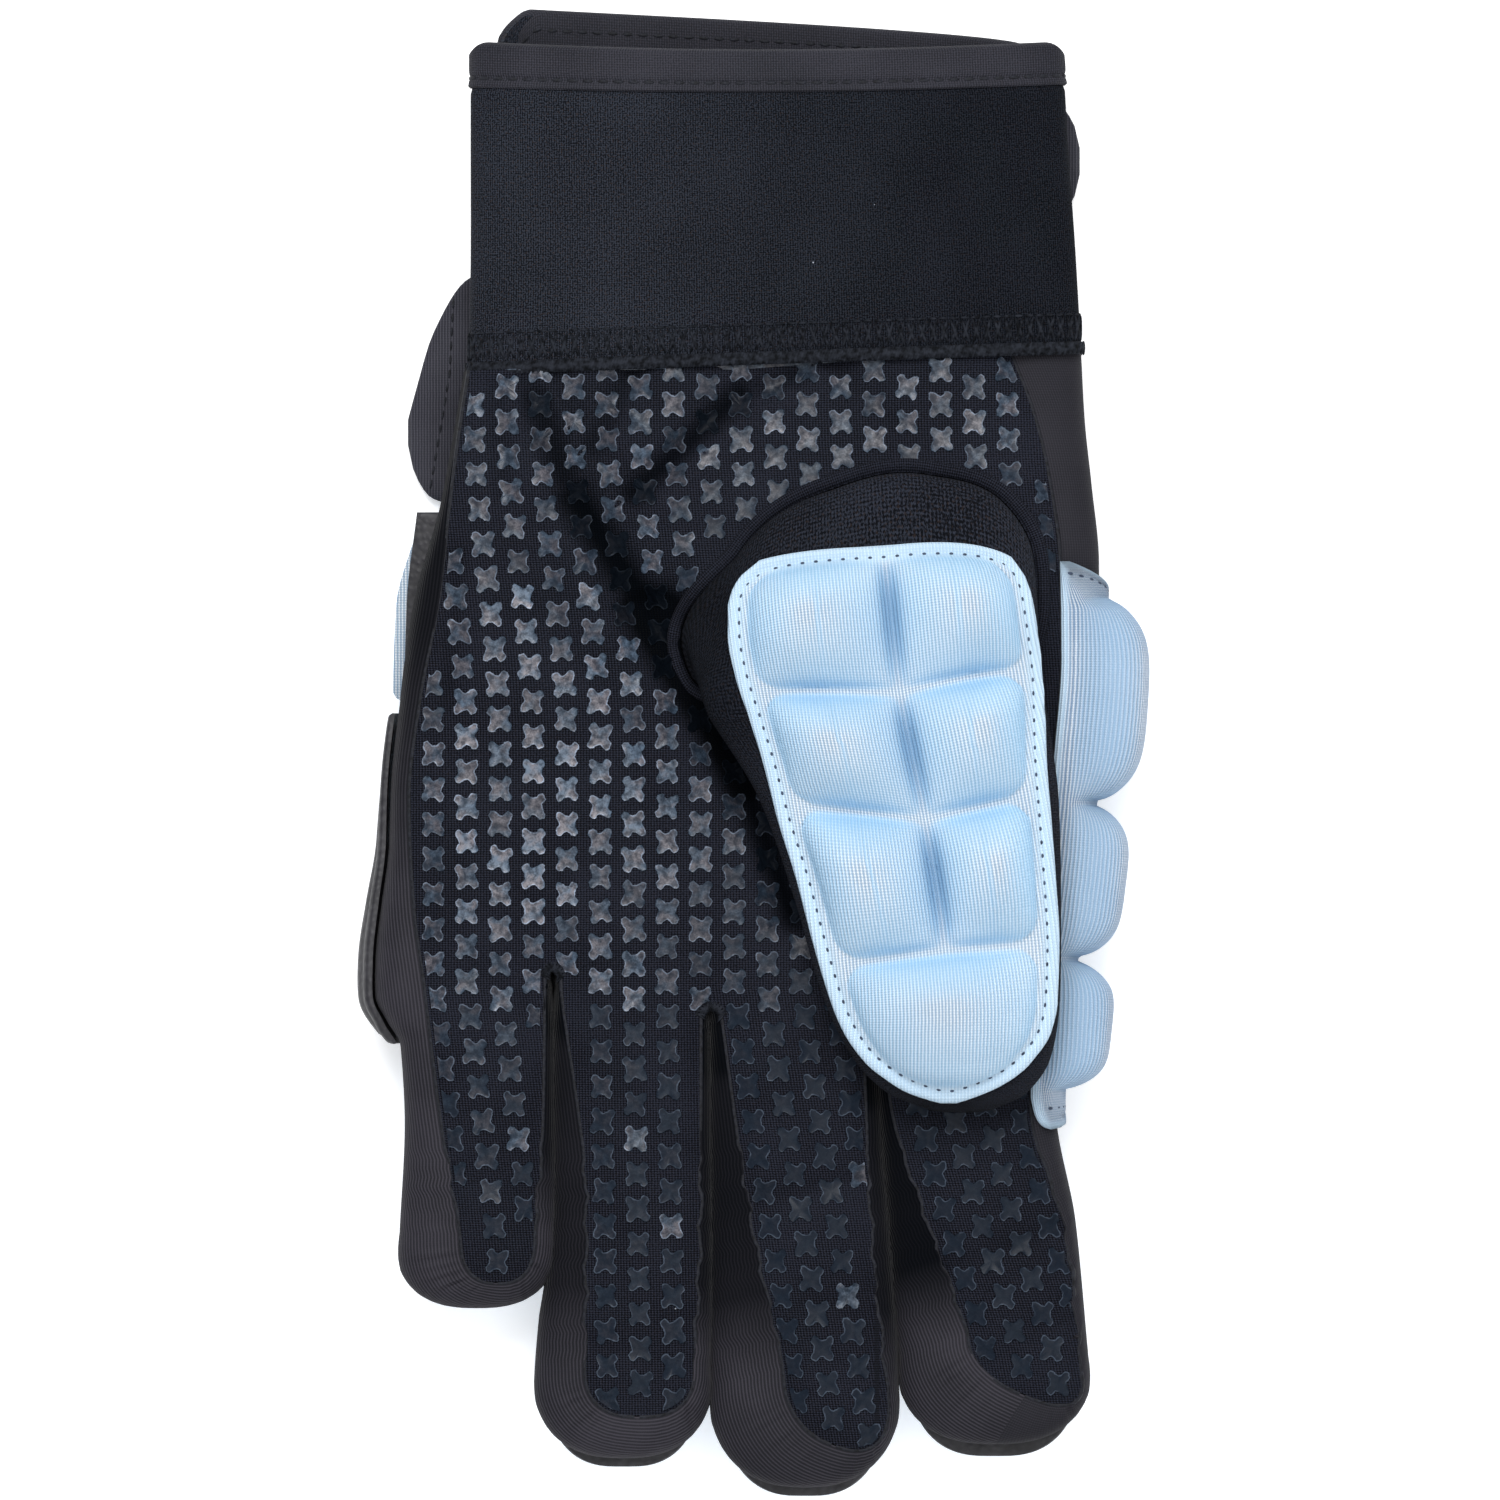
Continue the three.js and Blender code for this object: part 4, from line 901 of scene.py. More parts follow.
# %% The hem of the thumb hole
HEM_WIDTH = 2.4
HEM_HEIGHT = 1.5
line = hole_outline(HEM_WIDTH / 2, np.linspace(0, 360, 160, endpoint=False))
hem_height = palm_height(line[:, 0], line[:, 1])
hem = rope("thumb_hole_hem", np.column_stack([line, hem_height - 0.1]), HEM_WIDTH, HEM_HEIGHT, closed=True)
dress(hem, grip_cloth, "grip_fabric")

# %% The palm seams
SEAM_WIDTH = 0.9
SEAM_DEPTH = 0.25
seam_ropes = []
for name, path in STRIPS.items():
    line = path[:, 1][::2]
    z = palm_height(line[:, 0], line[:, 1]) - SEAM_DEPTH
    seam_ropes.append(rope(name + "_seam", np.column_stack([line, z]), SEAM_WIDTH, SEAM_WIDTH, sides=6))
seams = join("palm_seams", seam_ropes)
dress(seams, thread, "stretch_fabric")

# %% [markdown]
# The side strips
# Charcoal ribbed lycra runs from the palm seam round to the back seam, down every finger. The section is a
# squared half oval swept along the path. The ribs follow the strip, and near each fingertip and crotch the
# cloth is gathered into small ripples where the longer edge is eased into the shorter one. Between the
# fingers the strips swell until they touch, and the little side swells out beyond the seam. The walls that
# face each other, and the wall beside the wrist, are painted darker where they lie in shade: painted shade.

# %% Rolling a strip round the side of the hand
def roll_places(outer, seam, back, angle, lift):
    """Places on the side of the hand, by degrees round it from the palm seam, with an outward lift."""
    top = along(HEIGHTS, "top", seam[..., 1]) - EDGE_DROP
    bottom = along(HEIGHTS, "bottom", outer[..., 1])
    start = np.where(angle[..., None] <= 90, seam, back)
    widest = outer - unit(back - outer) * np.asarray(lift)[..., None]
    flat = start + (widest - start) * power(sine(angle), SIDE_SQUARE)[..., None]
    z = (top + bottom) / 2 + ((top - bottom) / 2 + lift) * power(cosine(angle), SIDE_SQUARE)
    return np.concatenate([flat, z[..., None]], -1)


TIGHT_TURN = 0.12
RIPPLE = 0.26
RIPPLE_LENGTHS = (2.3, 3.7)
DEEPEST_AT = 20
RIPPLE_REACH = 42


def gathers(path, angles):
    """Ripples at the fingertips and crotches, deepest at the palm seam."""
    travelled = np.concatenate([[0], np.cumsum(np.linalg.norm(np.diff(path[:, 0], axis=0), axis=-1))])
    turning = np.abs(np.gradient(np.unwrap(np.arctan2(*np.gradient(path[:, 0], axis=0).T)), travelled))
    tight = ramp(np.convolve(turning, np.ones(9) / 9, mode="same"), 0, TIGHT_TURN)
    long, short = (travelled * 2 * np.pi / length for length in RIPPLE_LENGTHS)
    ripple = np.sin(long) + 0.5 * np.sin(short + 1)
    fade = np.exp(-((angles - DEEPEST_AT) / RIPPLE_REACH) ** 2) * ramp(angles, 0, 12)
    return RIPPLE * (ripple * tight)[:, None] * fade[None]


SWELLS = {
    "y": [70, 9, 2.6, -15.5, -25.7, -35.4, -41.6, -46, -50, -94],
    "little": [0, 0, 0.2, 0.8, 2.4, 4.0, 4.4, 2.6, 0.6, 0],
}
BETWEEN_FINGERS = 1.1
FINGERS_FROM = -36
FINGERTIP = 0.9


def side_swell(name, side, y, angle):
    """How far the side of the hand or of a finger swells out beyond the pattern."""
    last = FINGERS[name]["rows"]["y"][-1]
    total = FINGERTIP * ramp(y, last, last - 6)
    if (name, side) == ("little", "left"):
        total = total + along(SWELLS, "little", y)
    elif (name, side) != ("index", "right"):
        between = ramp(y, FINGERS_FROM, FINGERS_FROM - 10) * ramp(y, last - 7, last + 9)
        total = total + BETWEEN_FINGERS * between
    return total * sine(angle) ** 2


# Painted shade on the walls of the strips that face another finger.
PAINTED_SHADE_SIDES = {
    "fourchette_little_ring": (0.8, 0.7),
    "fourchette_ring_middle": (0.8, 0.8),
    "fourchette_middle_index": (0.8, 0.92),
}
SIDE_FADE = 14
CROTCH_SHADE = 0.95
WRIST_SHADE = 0.8


def strip_sides(name):
    """The finger and side on each row of a strip's path: rows before the middle, then rows after it."""
    if name == "side_wall_little":
        return ("little", "left"), ("little", "left")
    if name == "side_wall_index":
        return ("index", "right"), ("index", "right")
    left, right = name.replace("fourchette_", "").split("_")
    return (left, "right"), (right, "left")


STRIP_WALL = 1.2
STRIP_CUTS = {
    "side_wall_little": (24.8, 166.3, 3000),
    "fourchette_little_ring": (20.3, 154.8, 2520),
    "fourchette_ring_middle": (24.2, 171.3, 2900),
    "fourchette_middle_index": (24.9, 160.0, 2650),
    "side_wall_index": (23.7, 194.7, 3300),
}
STRIP_ANGLES = 90 * (1 - np.cos(np.linspace(0, np.pi, 29)))
for name, path in STRIPS.items():
    outer, seam, back = (np.repeat(path[:, None, k], len(STRIP_ANGLES), 1) for k in range(3))
    angle = np.broadcast_to(STRIP_ANGLES, outer.shape[:2])
    y = path[:, :1, 1]
    after = (np.arange(len(path)) >= len(path) / 2)[:, None]
    first, second = (side_swell(finger, side, y, angle) for finger, side in strip_sides(name))
    lift = gathers(path, STRIP_ANGLES) + np.where(after, second, first)
    places = roll_places(outer, seam, back, angle, lift)
    strip = lay_sheet(name + "_cloth", places, (row_lengths(places), run_along(places, 0)))
    # Painted shade: walls that face another finger, the crotch and the little side towards the wrist are
    # painted darker.
    before_share, after_share = PAINTED_SHADE_SIDES.get(name, (0, 0))
    lasts = [FINGERS[finger]["rows"]["y"][-1] for finger, _ in strip_sides(name)]
    last = np.where(after, lasts[1], lasts[0])
    painted_shade = np.where(after, after_share, before_share) * ramp(y, last, last + SIDE_FADE)
    if before_share:
        painted_shade = np.maximum(painted_shade, CROTCH_SHADE * ramp(y, y.max() - 24, y.max() - 10))
    if name == "side_wall_little":
        painted_shade = WRIST_SHADE * ramp(y, -22, 22)
    give_values(strip, "painted_shade", (painted_shade + 0 * angle).reshape(-1))
    thicken(strip, STRIP_WALL)
    smooth(strip)
    dress(strip, wrist_cloth if name == "side_wall_index" else stretch_cloth, "stretch_fabric", name)
    width, length, area = STRIP_CUTS[name]

# %% [markdown]
# The printed crosses
# Hundreds of small clear silicone crosses are printed on the palm in columns that follow the threads of the
# cloth. One cross is modelled: a circle drawn out into four blunt arms, then raised and inset into a low
# glossy plate. It is then copied onto every place of the print, a little larger or smaller, turned and
# ragged at its edge, and laid on the cloth. Where the print runs over a seam it is cut off there.

# %% One cross
CROSS_QUARTER = [
    (1.48, 0), (1.52, 0.32), (1.66, 0.6), (1.86, 0.88), (2.0, 1.2), (1.94, 1.6), (1.84, 1.9), (1.54, 2.14),
    (1.14, 2.18), (0.82, 2.02), (0.56, 1.72), (0.28, 1.52), (0, 1.46)]
CROSS_PLATE = 0.3
CROSS_SUNK = 0.25
CROSS_STEP = 0.8
CROSS_BEVEL = 0.1
CROSS_RIM = 0.18
PRINT_INSET = 0.9
PRINT_END = 0.7
PRINT_FROM_HOLE = 2.6


def one_cross():
    """One printed cross, lying flat at the origin, with its rim at the height of the plate, to be marked
    later for the material.
    """
    half = CROSS_QUARTER + [(-x, y) for x, y in CROSS_QUARTER[-2::-1]]
    outline = np.array(half[:-1] + [(-x, -y) for x, y in half[:-1]])
    bpy.ops.mesh.primitive_circle_add(vertices=len(outline), fill_type="NGON")
    cross = bpy.context.object
    set_places(cross, np.column_stack([outline, np.full(len(outline), -CROSS_SUNK)]))
    bpy.ops.object.mode_set(mode="EDIT")
    bpy.ops.mesh.select_all(action="SELECT")
    rise = (CROSS_PLATE + CROSS_SUNK) * MM
    bpy.ops.mesh.extrude_region_move(TRANSFORM_OT_translate={"value": (0, 0, rise * CROSS_STEP)})
    bpy.ops.mesh.inset(thickness=CROSS_BEVEL * MM, depth=rise * (1 - CROSS_STEP))
    bpy.ops.mesh.inset(thickness=CROSS_RIM * MM, depth=-rise * 0.1)
    bpy.ops.mesh.poke()
    bpy.ops.object.mode_set(mode="OBJECT")
    face_outwards(cross)
    return cross


def copies(name, pattern, shapes, seeds=None):
    """One mesh of many copies of a pattern. shapes (copies, corners, 3) are the places of their corners."""
    count, corners = shapes.shape[:2]
    faces = [np.array(polygon.vertices) for polygon in pattern.data.polygons]
    every = [tuple(face + corners * i) for i in range(count) for face in faces]
    mesh = bpy.data.meshes.new(name)
    mesh.from_pydata((shapes.reshape(-1, 3) * MM).tolist(), [], every)
    piece = bpy.data.objects.new(name, mesh)
    bpy.context.scene.collection.objects.link(piece)
    bpy.data.objects.remove(pattern)
    if seeds is not None:
        give_values(piece, "copy_seed", np.repeat(seeds, corners))
    smooth(piece, 40)
    return piece


# %% The places of the print
COLUMN_PITCH = 5.68
ROW_PITCH = 5.95
FIRST_COLUMN = -54.2
FIRST_ROW = -30.1
CUFF_LINE = 65.5


def inside_outline(x, y, outline):
    """True for places inside a closed outline in plan."""
    ends = np.roll(outline, -1, 0)
    crossed = (outline[:, 1] > y[:, None]) != (ends[:, 1] > y[:, None])
    run = np.where(ends[:, 1] == outline[:, 1], 1, ends[:, 1] - outline[:, 1])
    at = outline[:, 0] + (y[:, None] - outline[:, 1]) * (ends[:, 0] - outline[:, 0]) / run
    return (crossed & (x[:, None] < at)).sum(1) % 2 == 1


columns, rows = np.meshgrid(np.arange(-1, 21), np.arange(-17, 18))
y = FIRST_ROW + ROW_PITCH * (rows + 0.5 * (columns % 2))
x = FIRST_COLUMN + COLUMN_PITCH * columns
x, y = (x + cloth_lean(x, y)).reshape(-1), y.reshape(-1)
printed = inside_outline(x, y, outline_of(1, PRINT_INSET)) & (y < CUFF_LINE)
printed &= ~inside_outline(x, y, hole_outline(PRINT_FROM_HOLE))
x, y = x[printed], y[printed]
print("crosses:", len(x))

# %% Laying the crosses on the cloth
SIZE_SPREAD = (0.94, 1.05)
SPIN_SPREAD = 4
# Spots where the crosses are milkier: the middle of the palm and a band near the cuff.
MILKY_SPOTS = [
    {"centre": (-34, -6), "reach": (26, 42), "milk": 0.72},
    {"centre": (0, 58), "reach": (np.inf, 16), "milk": 0.28},
]
CLEAR_MILK = 0.1
MILK_SPREAD = (0.4, 1.2)
BRIGHT_FROM = 0.97
BRIGHT_MORE = 0.35
FINGER_PRINT = -44
random = np.random.default_rng(7)
cross = one_cross()
shape = vertex_places(cross)
size = random.uniform(*SIZE_SPREAD, len(x))
spin = np.radians(random.normal(0, SPIN_SPREAD, len(x)))[:, None]
phases = random.uniform(0, 360, (4, len(x), 1))


def ragged(along_edge, long_phase, short_phase):
    """The small waves in the edge of a printed cross, from two waves of different length."""
    return 0.07 * cosine(long_phase + 260 * along_edge) + 0.05 * cosine(short_phase + 610 * along_edge)


print_x = shape[:, 0] + ragged(shape[:, 1], phases[0], phases[1])
print_y = shape[:, 1] + ragged(shape[:, 0], phases[2], phases[3])
flat_x = size[:, None] * (print_x * np.cos(spin) - print_y * np.sin(spin))
flat_y = size[:, None] * (print_x * np.sin(spin) + print_y * np.cos(spin))
cross_x, cross_y = x[:, None] + flat_x, y[:, None] + flat_y


def keep_inside(px, py, outline):
    """Moves places that run over an outline back to it."""
    flat_px, flat_py = px.reshape(-1).copy(), py.reshape(-1).copy()
    out = np.flatnonzero(~inside_outline(flat_px, flat_py, outline))
    gap = (flat_px[out, None] - outline[:, 0]) ** 2 + (flat_py[out, None] - outline[:, 1]) ** 2
    nearest = outline[gap.argmin(1)]
    flat_px[out], flat_py[out] = nearest[:, 0], nearest[:, 1]
    return flat_px.reshape(px.shape), flat_py.reshape(py.shape)


cross_x, cross_y = keep_inside(cross_x, cross_y, outline_of(1, PRINT_END, 1))
lifted = palm_height(cross_x, cross_y) + shape[:, 2]
milk_level = CLEAR_MILK
for spot in MILKY_SPOTS:
    from_x = (x - spot["centre"][0]) / spot["reach"][0]
    from_y = (y - spot["centre"][1]) / spot["reach"][1]
    milk_level = milk_level + spot["milk"] * np.exp(-from_x ** 2 - from_y ** 2)
# On the fingers the crosses are clearer, most of all towards the index finger.
milk_level = milk_level * np.where(y < FINGER_PRINT, np.clip(0.5 - 0.008 * (x + 45), 0.05, 0.5), 1)
milkiness = milk_level * random.uniform(*MILK_SPREAD, len(x))
milkiness = np.clip(milkiness + (random.random(len(x)) > BRIGHT_FROM) * BRIGHT_MORE, 0, 1)
# Painted shade: a cross in a fold is made clearer, so it looks darker.
milkiness = milkiness * (1 - depth_share(x, y)) + 0.02
crosses = copies("grip_crosses", cross, np.stack([cross_x, cross_y, lifted], -1), milkiness)
# Painted shade: crosses in a fold are also painted towards black.
give_values(crosses, "painted_shade", np.repeat(depth_share(x, y), len(shape)))
give_values(crosses, "rim", np.tile(np.where(np.abs(shape[:, 2] - CROSS_PLATE) < 0.02, 1.0, 0.0), len(x)))

# %% [markdown]
# Clear silicone on black cloth
# It looks milky grey-blue where it is thick and lit, and nearly black where it is thin. Where it lies in a
# fold it is painted nearly black, as painted shade, and its gloss fades there. Each copy carries its own
# number, which makes it milkier in the middle of the palm and near the cuff, clearer on the fingers, and
# clearer in a fold as part of the painted shade. Its rim catches real light on its bevel and is also
# painted lighter, a painted highlight, and its gloss is a coat that is stronger where it is milky.

# %% The silicone
silicone, tree, shader = new_material("clear_silicone")
seed = put(tree, "ShaderNodeAttribute", attribute_name="copy_seed")
rim = put(tree, "ShaderNodeAttribute", attribute_name="rim")
smear = use_group(tree, cloud_group, {"Size": 1.1, "Strength": 1.5})
hue = use_group(tree, cloud_group, {"Size": 2.6, "Strength": 2.4})
milk = calc(tree, "MULTIPLY", seed.outputs["Fac"], calc(tree, "ADD", smear.outputs["Cloud"], 0.35))
place = put(tree, "ShaderNodeTexCoord").outputs["Object"]
grain = put(tree, "ShaderNodeTexNoise", {"Vector": place, "Scale": 3400.0, "Detail": 1.0})
grainy = calc(tree, "ADD", calc(tree, "MULTIPLY", grain.outputs["Fac"], 1.6), 0.2)
milk = calc(tree, "MINIMUM", calc(tree, "MULTIPLY", milk, grainy), 1.0)
silicone_tone = blend_colours(tree, hue.outputs["Cloud"], linear(78, 94, 112), linear(108, 104, 110))
body_colour = blend_colours(tree, milk, linear(20, 27, 37), silicone_tone)
# Painted highlight: the rim is painted lighter, as if it caught the light.
painted_glint = calc(tree, "MULTIPLY", hue.outputs["Cloud"], rim.outputs["Fac"])
painted_highlight_part = calc(tree, "MULTIPLY", calc(tree, "ADD", calc(tree, "MULTIPLY", milk, 0.8), 0.16), painted_glint)
painted_highlight_colour = blend_colours(tree, painted_highlight_part, body_colour, linear(150, 168, 192))
# Painted shade: in a fold the silicone is painted towards black and loses gloss.
painted_shade = put(tree, "ShaderNodeAttribute", attribute_name="painted_shade")
painted_shade_part = calc(tree, "MULTIPLY", painted_shade.outputs["Fac"], 0.85)
tree.links.new(blend_colours(tree, painted_shade_part, painted_highlight_colour, PAINTED_SHADE_BLACK), shader.inputs["Base Color"])
relief = put(tree, "ShaderNodeBump", {"Height": smear.outputs["Cloud"], "Distance": 0.12 * MM})
tree.links.new(relief.outputs["Normal"], shader.inputs["Normal"])
gloss = calc(tree, "ADD", milk, 0.16)
gloss = calc(tree, "MULTIPLY", calc(tree, "SUBTRACT", 1.0, painted_shade_part), gloss)
tree.links.new(calc(tree, "MINIMUM", gloss, 1.0), shader.inputs["Coat Weight"])
shader.inputs["Coat Roughness"].default_value = 0.34
shader.inputs["Roughness"].default_value = 0.6
shader.inputs["Specular IOR Level"].default_value = 0
dress(crosses, silicone, "grip_fabric")

# %% [markdown]
# The thumb
# The thumb is a tube of coarse black mesh. It stands up out of the oval hole, bends over about a crease
# beside the palm and lies flat along it, so its sections turn through a right angle and then run straight
# to a rounded tip. Its side towards the middle of the palm is painted darker, as painted shade.

# %% Sections of the thumb
THUMB_ROOT = {"x": 18.4, "half_width": 29.8, "start": 2, "reach": 42.2, "lead": 2.4}
THUMB_CREASE = {"y": 6, "z": 24.2, "height": 13.0, "square": 2.3}
THUMB_SQUARE = 2.6
TOP_REACH = 0.97
ROOT_SHARE = 0.7
THUMB_SEAT = 0.2
THUMB_ROWS = {
    "y": [6, -8, -25, -42, -52, -58, -60.6],
    "x": [21.4, 26.6, 29.8, 32.2, 33.9, 34.8, 35.4],
    "half_width": [28.8, 25.4, 22.6, 20.0, 16.7, 11.6, 5.6],
    "low": [0.5, 0.5, 0.5, 0.5, 0.8, 1.8, 3.4],
    "high": [13.0, 13.0, 12.6, 12.0, 11.2, 9.6, 7.6],
}


def thumb_section(place):
    """Sections of the thumb: 0 to 1 round the bend, 1 to 2 along the palm to the tip."""
    bend = np.clip(place, 0, 1)
    y = THUMB_CREASE["y"] + (THUMB_ROWS["y"][-1] - THUMB_CREASE["y"]) * np.clip(place - 1, 0, 1)
    column = {key: along(THUMB_ROWS, key, y) for key in ("x", "half_width", "low", "high")}
    square = THUMB_CREASE["square"]
    root = THUMB_ROOT
    across = (cosine(90 * bend) / THUMB_ROOT["reach"]) ** square
    reach = (across + (sine(90 * bend) / THUMB_CREASE["height"]) ** square) ** (-1 / square)
    straight = place >= 1
    return {
        "y": y,
        "angle": 90 * bend,
        "x": np.where(straight, column["x"], root["x"] + (column["x"] - root["x"]) * bend),
        "half_width": np.where(straight, column["half_width"],
                               root["half_width"] + (column["half_width"] - root["half_width"]) * bend),
        "low": np.where(straight, column["low"], root["start"] + (column["low"] - root["start"]) * bend),
        "high": np.where(straight, column["high"], reach),
    }


def thumb_place(s, across, out):
    """A place on a section: across the thumb and out from the crease."""
    z = THUMB_CREASE["z"] + out * sine(s["angle"])
    return np.stack([across + 0 * out, s["y"] + out * cosine(s["angle"]), z], -1)


def thumb_rings(stations, turns):
    """Rings round the thumb at the stations, as rows of places."""
    s = {key: value[:, None] for key, value in thumb_section(stations).items()}
    half = (s["high"] - s["low"]) / 2
    out = (s["low"] + s["high"]) / 2 + half * power(sine(turns), THUMB_SQUARE)
    across = s["x"] + s["half_width"] * power(cosine(turns), THUMB_SQUARE)
    root = hole_outline(-THUMB_SEAT, turns)
    share = ramp(stations, ROOT_SHARE, 0)[:, None] ** 1.5
    across = across + share * (root[:, 0] - across[:1])
    return thumb_place(s, across, out + share * (root[:, 1] - THUMB_CREASE["y"] - out[:1]))


def thumb_along(y):
    """The station whose top lies over a height in plan."""
    low, high = np.zeros(np.shape(y)), np.ones(np.shape(y))
    for _ in range(24):
        middle = (low + high) / 2
        s = thumb_section(middle)
        beyond = s["y"] + s["high"] * cosine(s["angle"]) > y
        low, high = np.where(beyond, middle, low), np.where(beyond, high, middle)
    straight = 1 + (y - THUMB_CREASE["y"]) / (THUMB_ROWS["y"][-1] - THUMB_CREASE["y"])
    return np.where(y <= THUMB_CREASE["y"], straight, (low + high) / 2)


def thumb_top(x, y):
    """The top of the thumb over a place in plan."""
    s = thumb_section(thumb_along(y))
    across = np.clip(np.abs((x - s["x"]) / s["half_width"]), 0, TOP_REACH)
    half = (s["high"] - s["low"]) / 2
    return thumb_place(s, x, s["low"] + half + half * (1 - across ** THUMB_SQUARE) ** (1 / THUMB_SQUARE))


def normals_of(surface, u, v):
    """Directions square to a surface, from four places close by."""
    step = 0.2
    ahead = surface(u + step, v) - surface(u - step, v)
    return unit(np.cross(ahead, surface(u, v + step) - surface(u, v - step)))


# %% The thumb shell
THUMB_WALL = 1.3
BESIDE_SHADE = 0.55
stations = np.concatenate([np.linspace(0, 1, 34), 1 + np.linspace(0, 1, 90)[1:] ** 0.92])
turns = np.linspace(0, 360, 121)
places = thumb_rings(stations, turns)
root = places[:1] - [0, 0, THUMB_ROOT["lead"]]
centre = places[-1].mean(0)
TIP_RINGS = [(0.8, 0.3), (0.45, 0.5), (0, 0.6)]
tip = [centre + (places[-1:] - centre) * shrink + [0, -bulge, 0] for shrink, bulge in TIP_RINGS]
thumb_shell = lay_sheet("thumb_shell_cloth", np.concatenate([root, places, *tip]), closed=True)
face_outwards(thumb_shell)
thicken(thumb_shell, THUMB_WALL)
smooth(thumb_shell)
# Painted shade: the side towards the middle of the palm is painted darker.
give_values(thumb_shell, "painted_shade", BESIDE_SHADE * ramp(vertex_places(thumb_shell)[:, 0], 6, -6))
dress(thumb_shell, thumb_cloth, "thumb_mesh", "thumb_shell")

# %% [markdown]
# Moulded foam pads
# Foam lumps are moulded between two cloths: each lump rises steeply out of its channel, then slopes up to a
# crest that lies nearer the cuff, and its outer corners are well rounded. That profile is a formula of the
# distances to the edges of the lump, so the whole pad is one fine sheet laid on the thumb, with the lumps
# raised along its normals and closed behind.

# %% Helpers for foam
def swell(distance, roll):
    """Rise of a lump from its edge, from 0 to 1 over the roll of the edge."""
    t = np.clip(distance / roll, 0, 1)
    return np.sqrt(1 - (1 - t) ** 2)


def steepness(height, x, y):
    """How steep the foam is at each place of a sheet, from 0 to 1."""
    run_x = np.maximum(np.abs(np.gradient(x, axis=1)), 1e-6)
    run_y = np.maximum(np.abs(np.gradient(y, axis=0)), 1e-6)
    slope = np.hypot(np.gradient(height, axis=1) / run_x, np.gradient(height, axis=0) / run_y)
    return slope / (1 + slope)


def foam_body(name, upper, lower, cloth, **shades):
    """A closed body between two sheets of the same grid. Shades are stored on it for the material."""
    def rolled(over, under):
        return np.concatenate([over, under[:, ::-1], over[:, :1]], 1)

    across, lengthwise = (np.broadcast_to(part, upper.shape[:2]) for part in cloth)
    body = lay_sheet(name, rolled(upper, lower), (rolled(across, across), rolled(lengthwise, lengthwise)))
    for shade, values in shades.items():
        give_values(body, shade, rolled(values, values * 0).reshape(-1))
    merge_seam(body)
    fill_ends(body)
    face_outwards(body)
    smooth(body, 60)
    return body


# %% The outline and lumps of the thumb pad
PAD_GAP = 0.3
FLANGE = 1.1
THUMB_PAD_EDGE = {
    "y": [37.2, 36.6, 35.5, 34.3, 33.2, 31.8, 29.2, 26.7, 21.6, 13.9, 6.3, -1.4, -11.6, -21.8, -32, -42.2,
          -47.3, -52.4, -54.9, -57.5, -59.0],
    "left": [3.0, 2.8, 2.5, 1.9, 0.6, -1.8, -3.4, -3.9, -3.9, -2.7, -0.5, 2, 4.8, 8, 10.7, 13.8,
             16, 19.6, 22.6, 26.9, 32],
    "right": [43.6, 44.6, 45.8, 46.4, 46.8, 47.1, 47.5, 47.8, 48.4, 49, 49.2, 49.5, 50.3, 51, 51.5, 51.2,
              50.2, 47, 44.2, 39.4, 34.6],
}
THUMB_PAD_ROWS = {
    "y": [34.7, 27, 10, -11.4, -33.6, -45, -59],
    "centre": [22.2, 23, 25, 29.2, 32.6, 33.4, 33.3],
    "lift_left": [-0.045, -0.06, 0.02, 0.11, -0.13, -0.04, 0],
    "lift_right": [0.13, 0.12, 0.24, 0.22, 0.075, 0, 0],
}
THUMB_LUMPS = [
    {"from": 32.3, "to": 10.7, "split": True, "height": 7.9},
    {"from": 9.3, "to": -10.7, "split": True, "height": 7.9},
    {"from": -12.1, "to": -32.9, "split": True, "height": 7.7},
    {"from": -34.3, "to": -56.2, "split": False, "height": 7.2},
]
THUMB_MARGIN = 3.5
HALF_CHANNEL = 0.5
LUMP_ROLL = 1.6
EDGE_SHARE = 0.12
CROWN = 2.1
HIGH_CREST = 0.38
OUTER_CREST = 0.08
OUTER_CORNER = 4.4
INNER_CORNER = 1.2
CORNER_ROLL = 2.2
MARGIN_SHARE = 0.4
PAD_GRID = (180, 108)


def pad_rows(pad_y):
    """The centre line of the thumb pad, and the lift of its rows to the left and to the right."""
    return (along(THUMB_PAD_ROWS, key, pad_y) for key in ("centre", "lift_left", "lift_right"))


def edge_columns(pad_y):
    """Left edge, centre line and right edge of the thumb pad."""
    centre, lift_left, lift_right = pad_rows(pad_y)
    left, right = along(THUMB_PAD_EDGE, "left", pad_y), along(THUMB_PAD_EDGE, "right", pad_y)
    for _ in range(5):
        left = along(THUMB_PAD_EDGE, "left", pad_y + lift_left * (centre - left))
        right = along(THUMB_PAD_EDGE, "right", pad_y + lift_right * (right - centre))
    return left, centre, right


def pad_plan(pad_y, x):
    """Height in plan of a place on the thumb pad, given the row it belongs to."""
    centre, lift_left, lift_right = pad_rows(pad_y)
    return pad_y + np.where(x < centre, lift_left * (centre - x), lift_right * (x - centre))


def crowned(from_start, from_end, crest=0.5, crown=CROWN):
    """Rise of a lump in one direction: a steep edge, then a slope to a crest at a share of the way across."""
    length = from_start + from_end
    t = np.clip(np.minimum(from_start / (length * crest), from_end / (length * (1 - crest))), 0, 1)
    edge = swell(np.minimum(from_start, from_end), LUMP_ROLL)
    return EDGE_SHARE * edge + (1 - EDGE_SHARE) * (1 - (1 - t) ** crown)


def rounded(from_side, from_end, corner):
    """How the corners of a lump fall away, from 0 outside to 1."""
    in_corner = corner - np.hypot(np.clip(corner - from_side, 0, None), np.clip(corner - from_end, 0, None))
    return swell(in_corner, CORNER_ROLL) ** 0.5


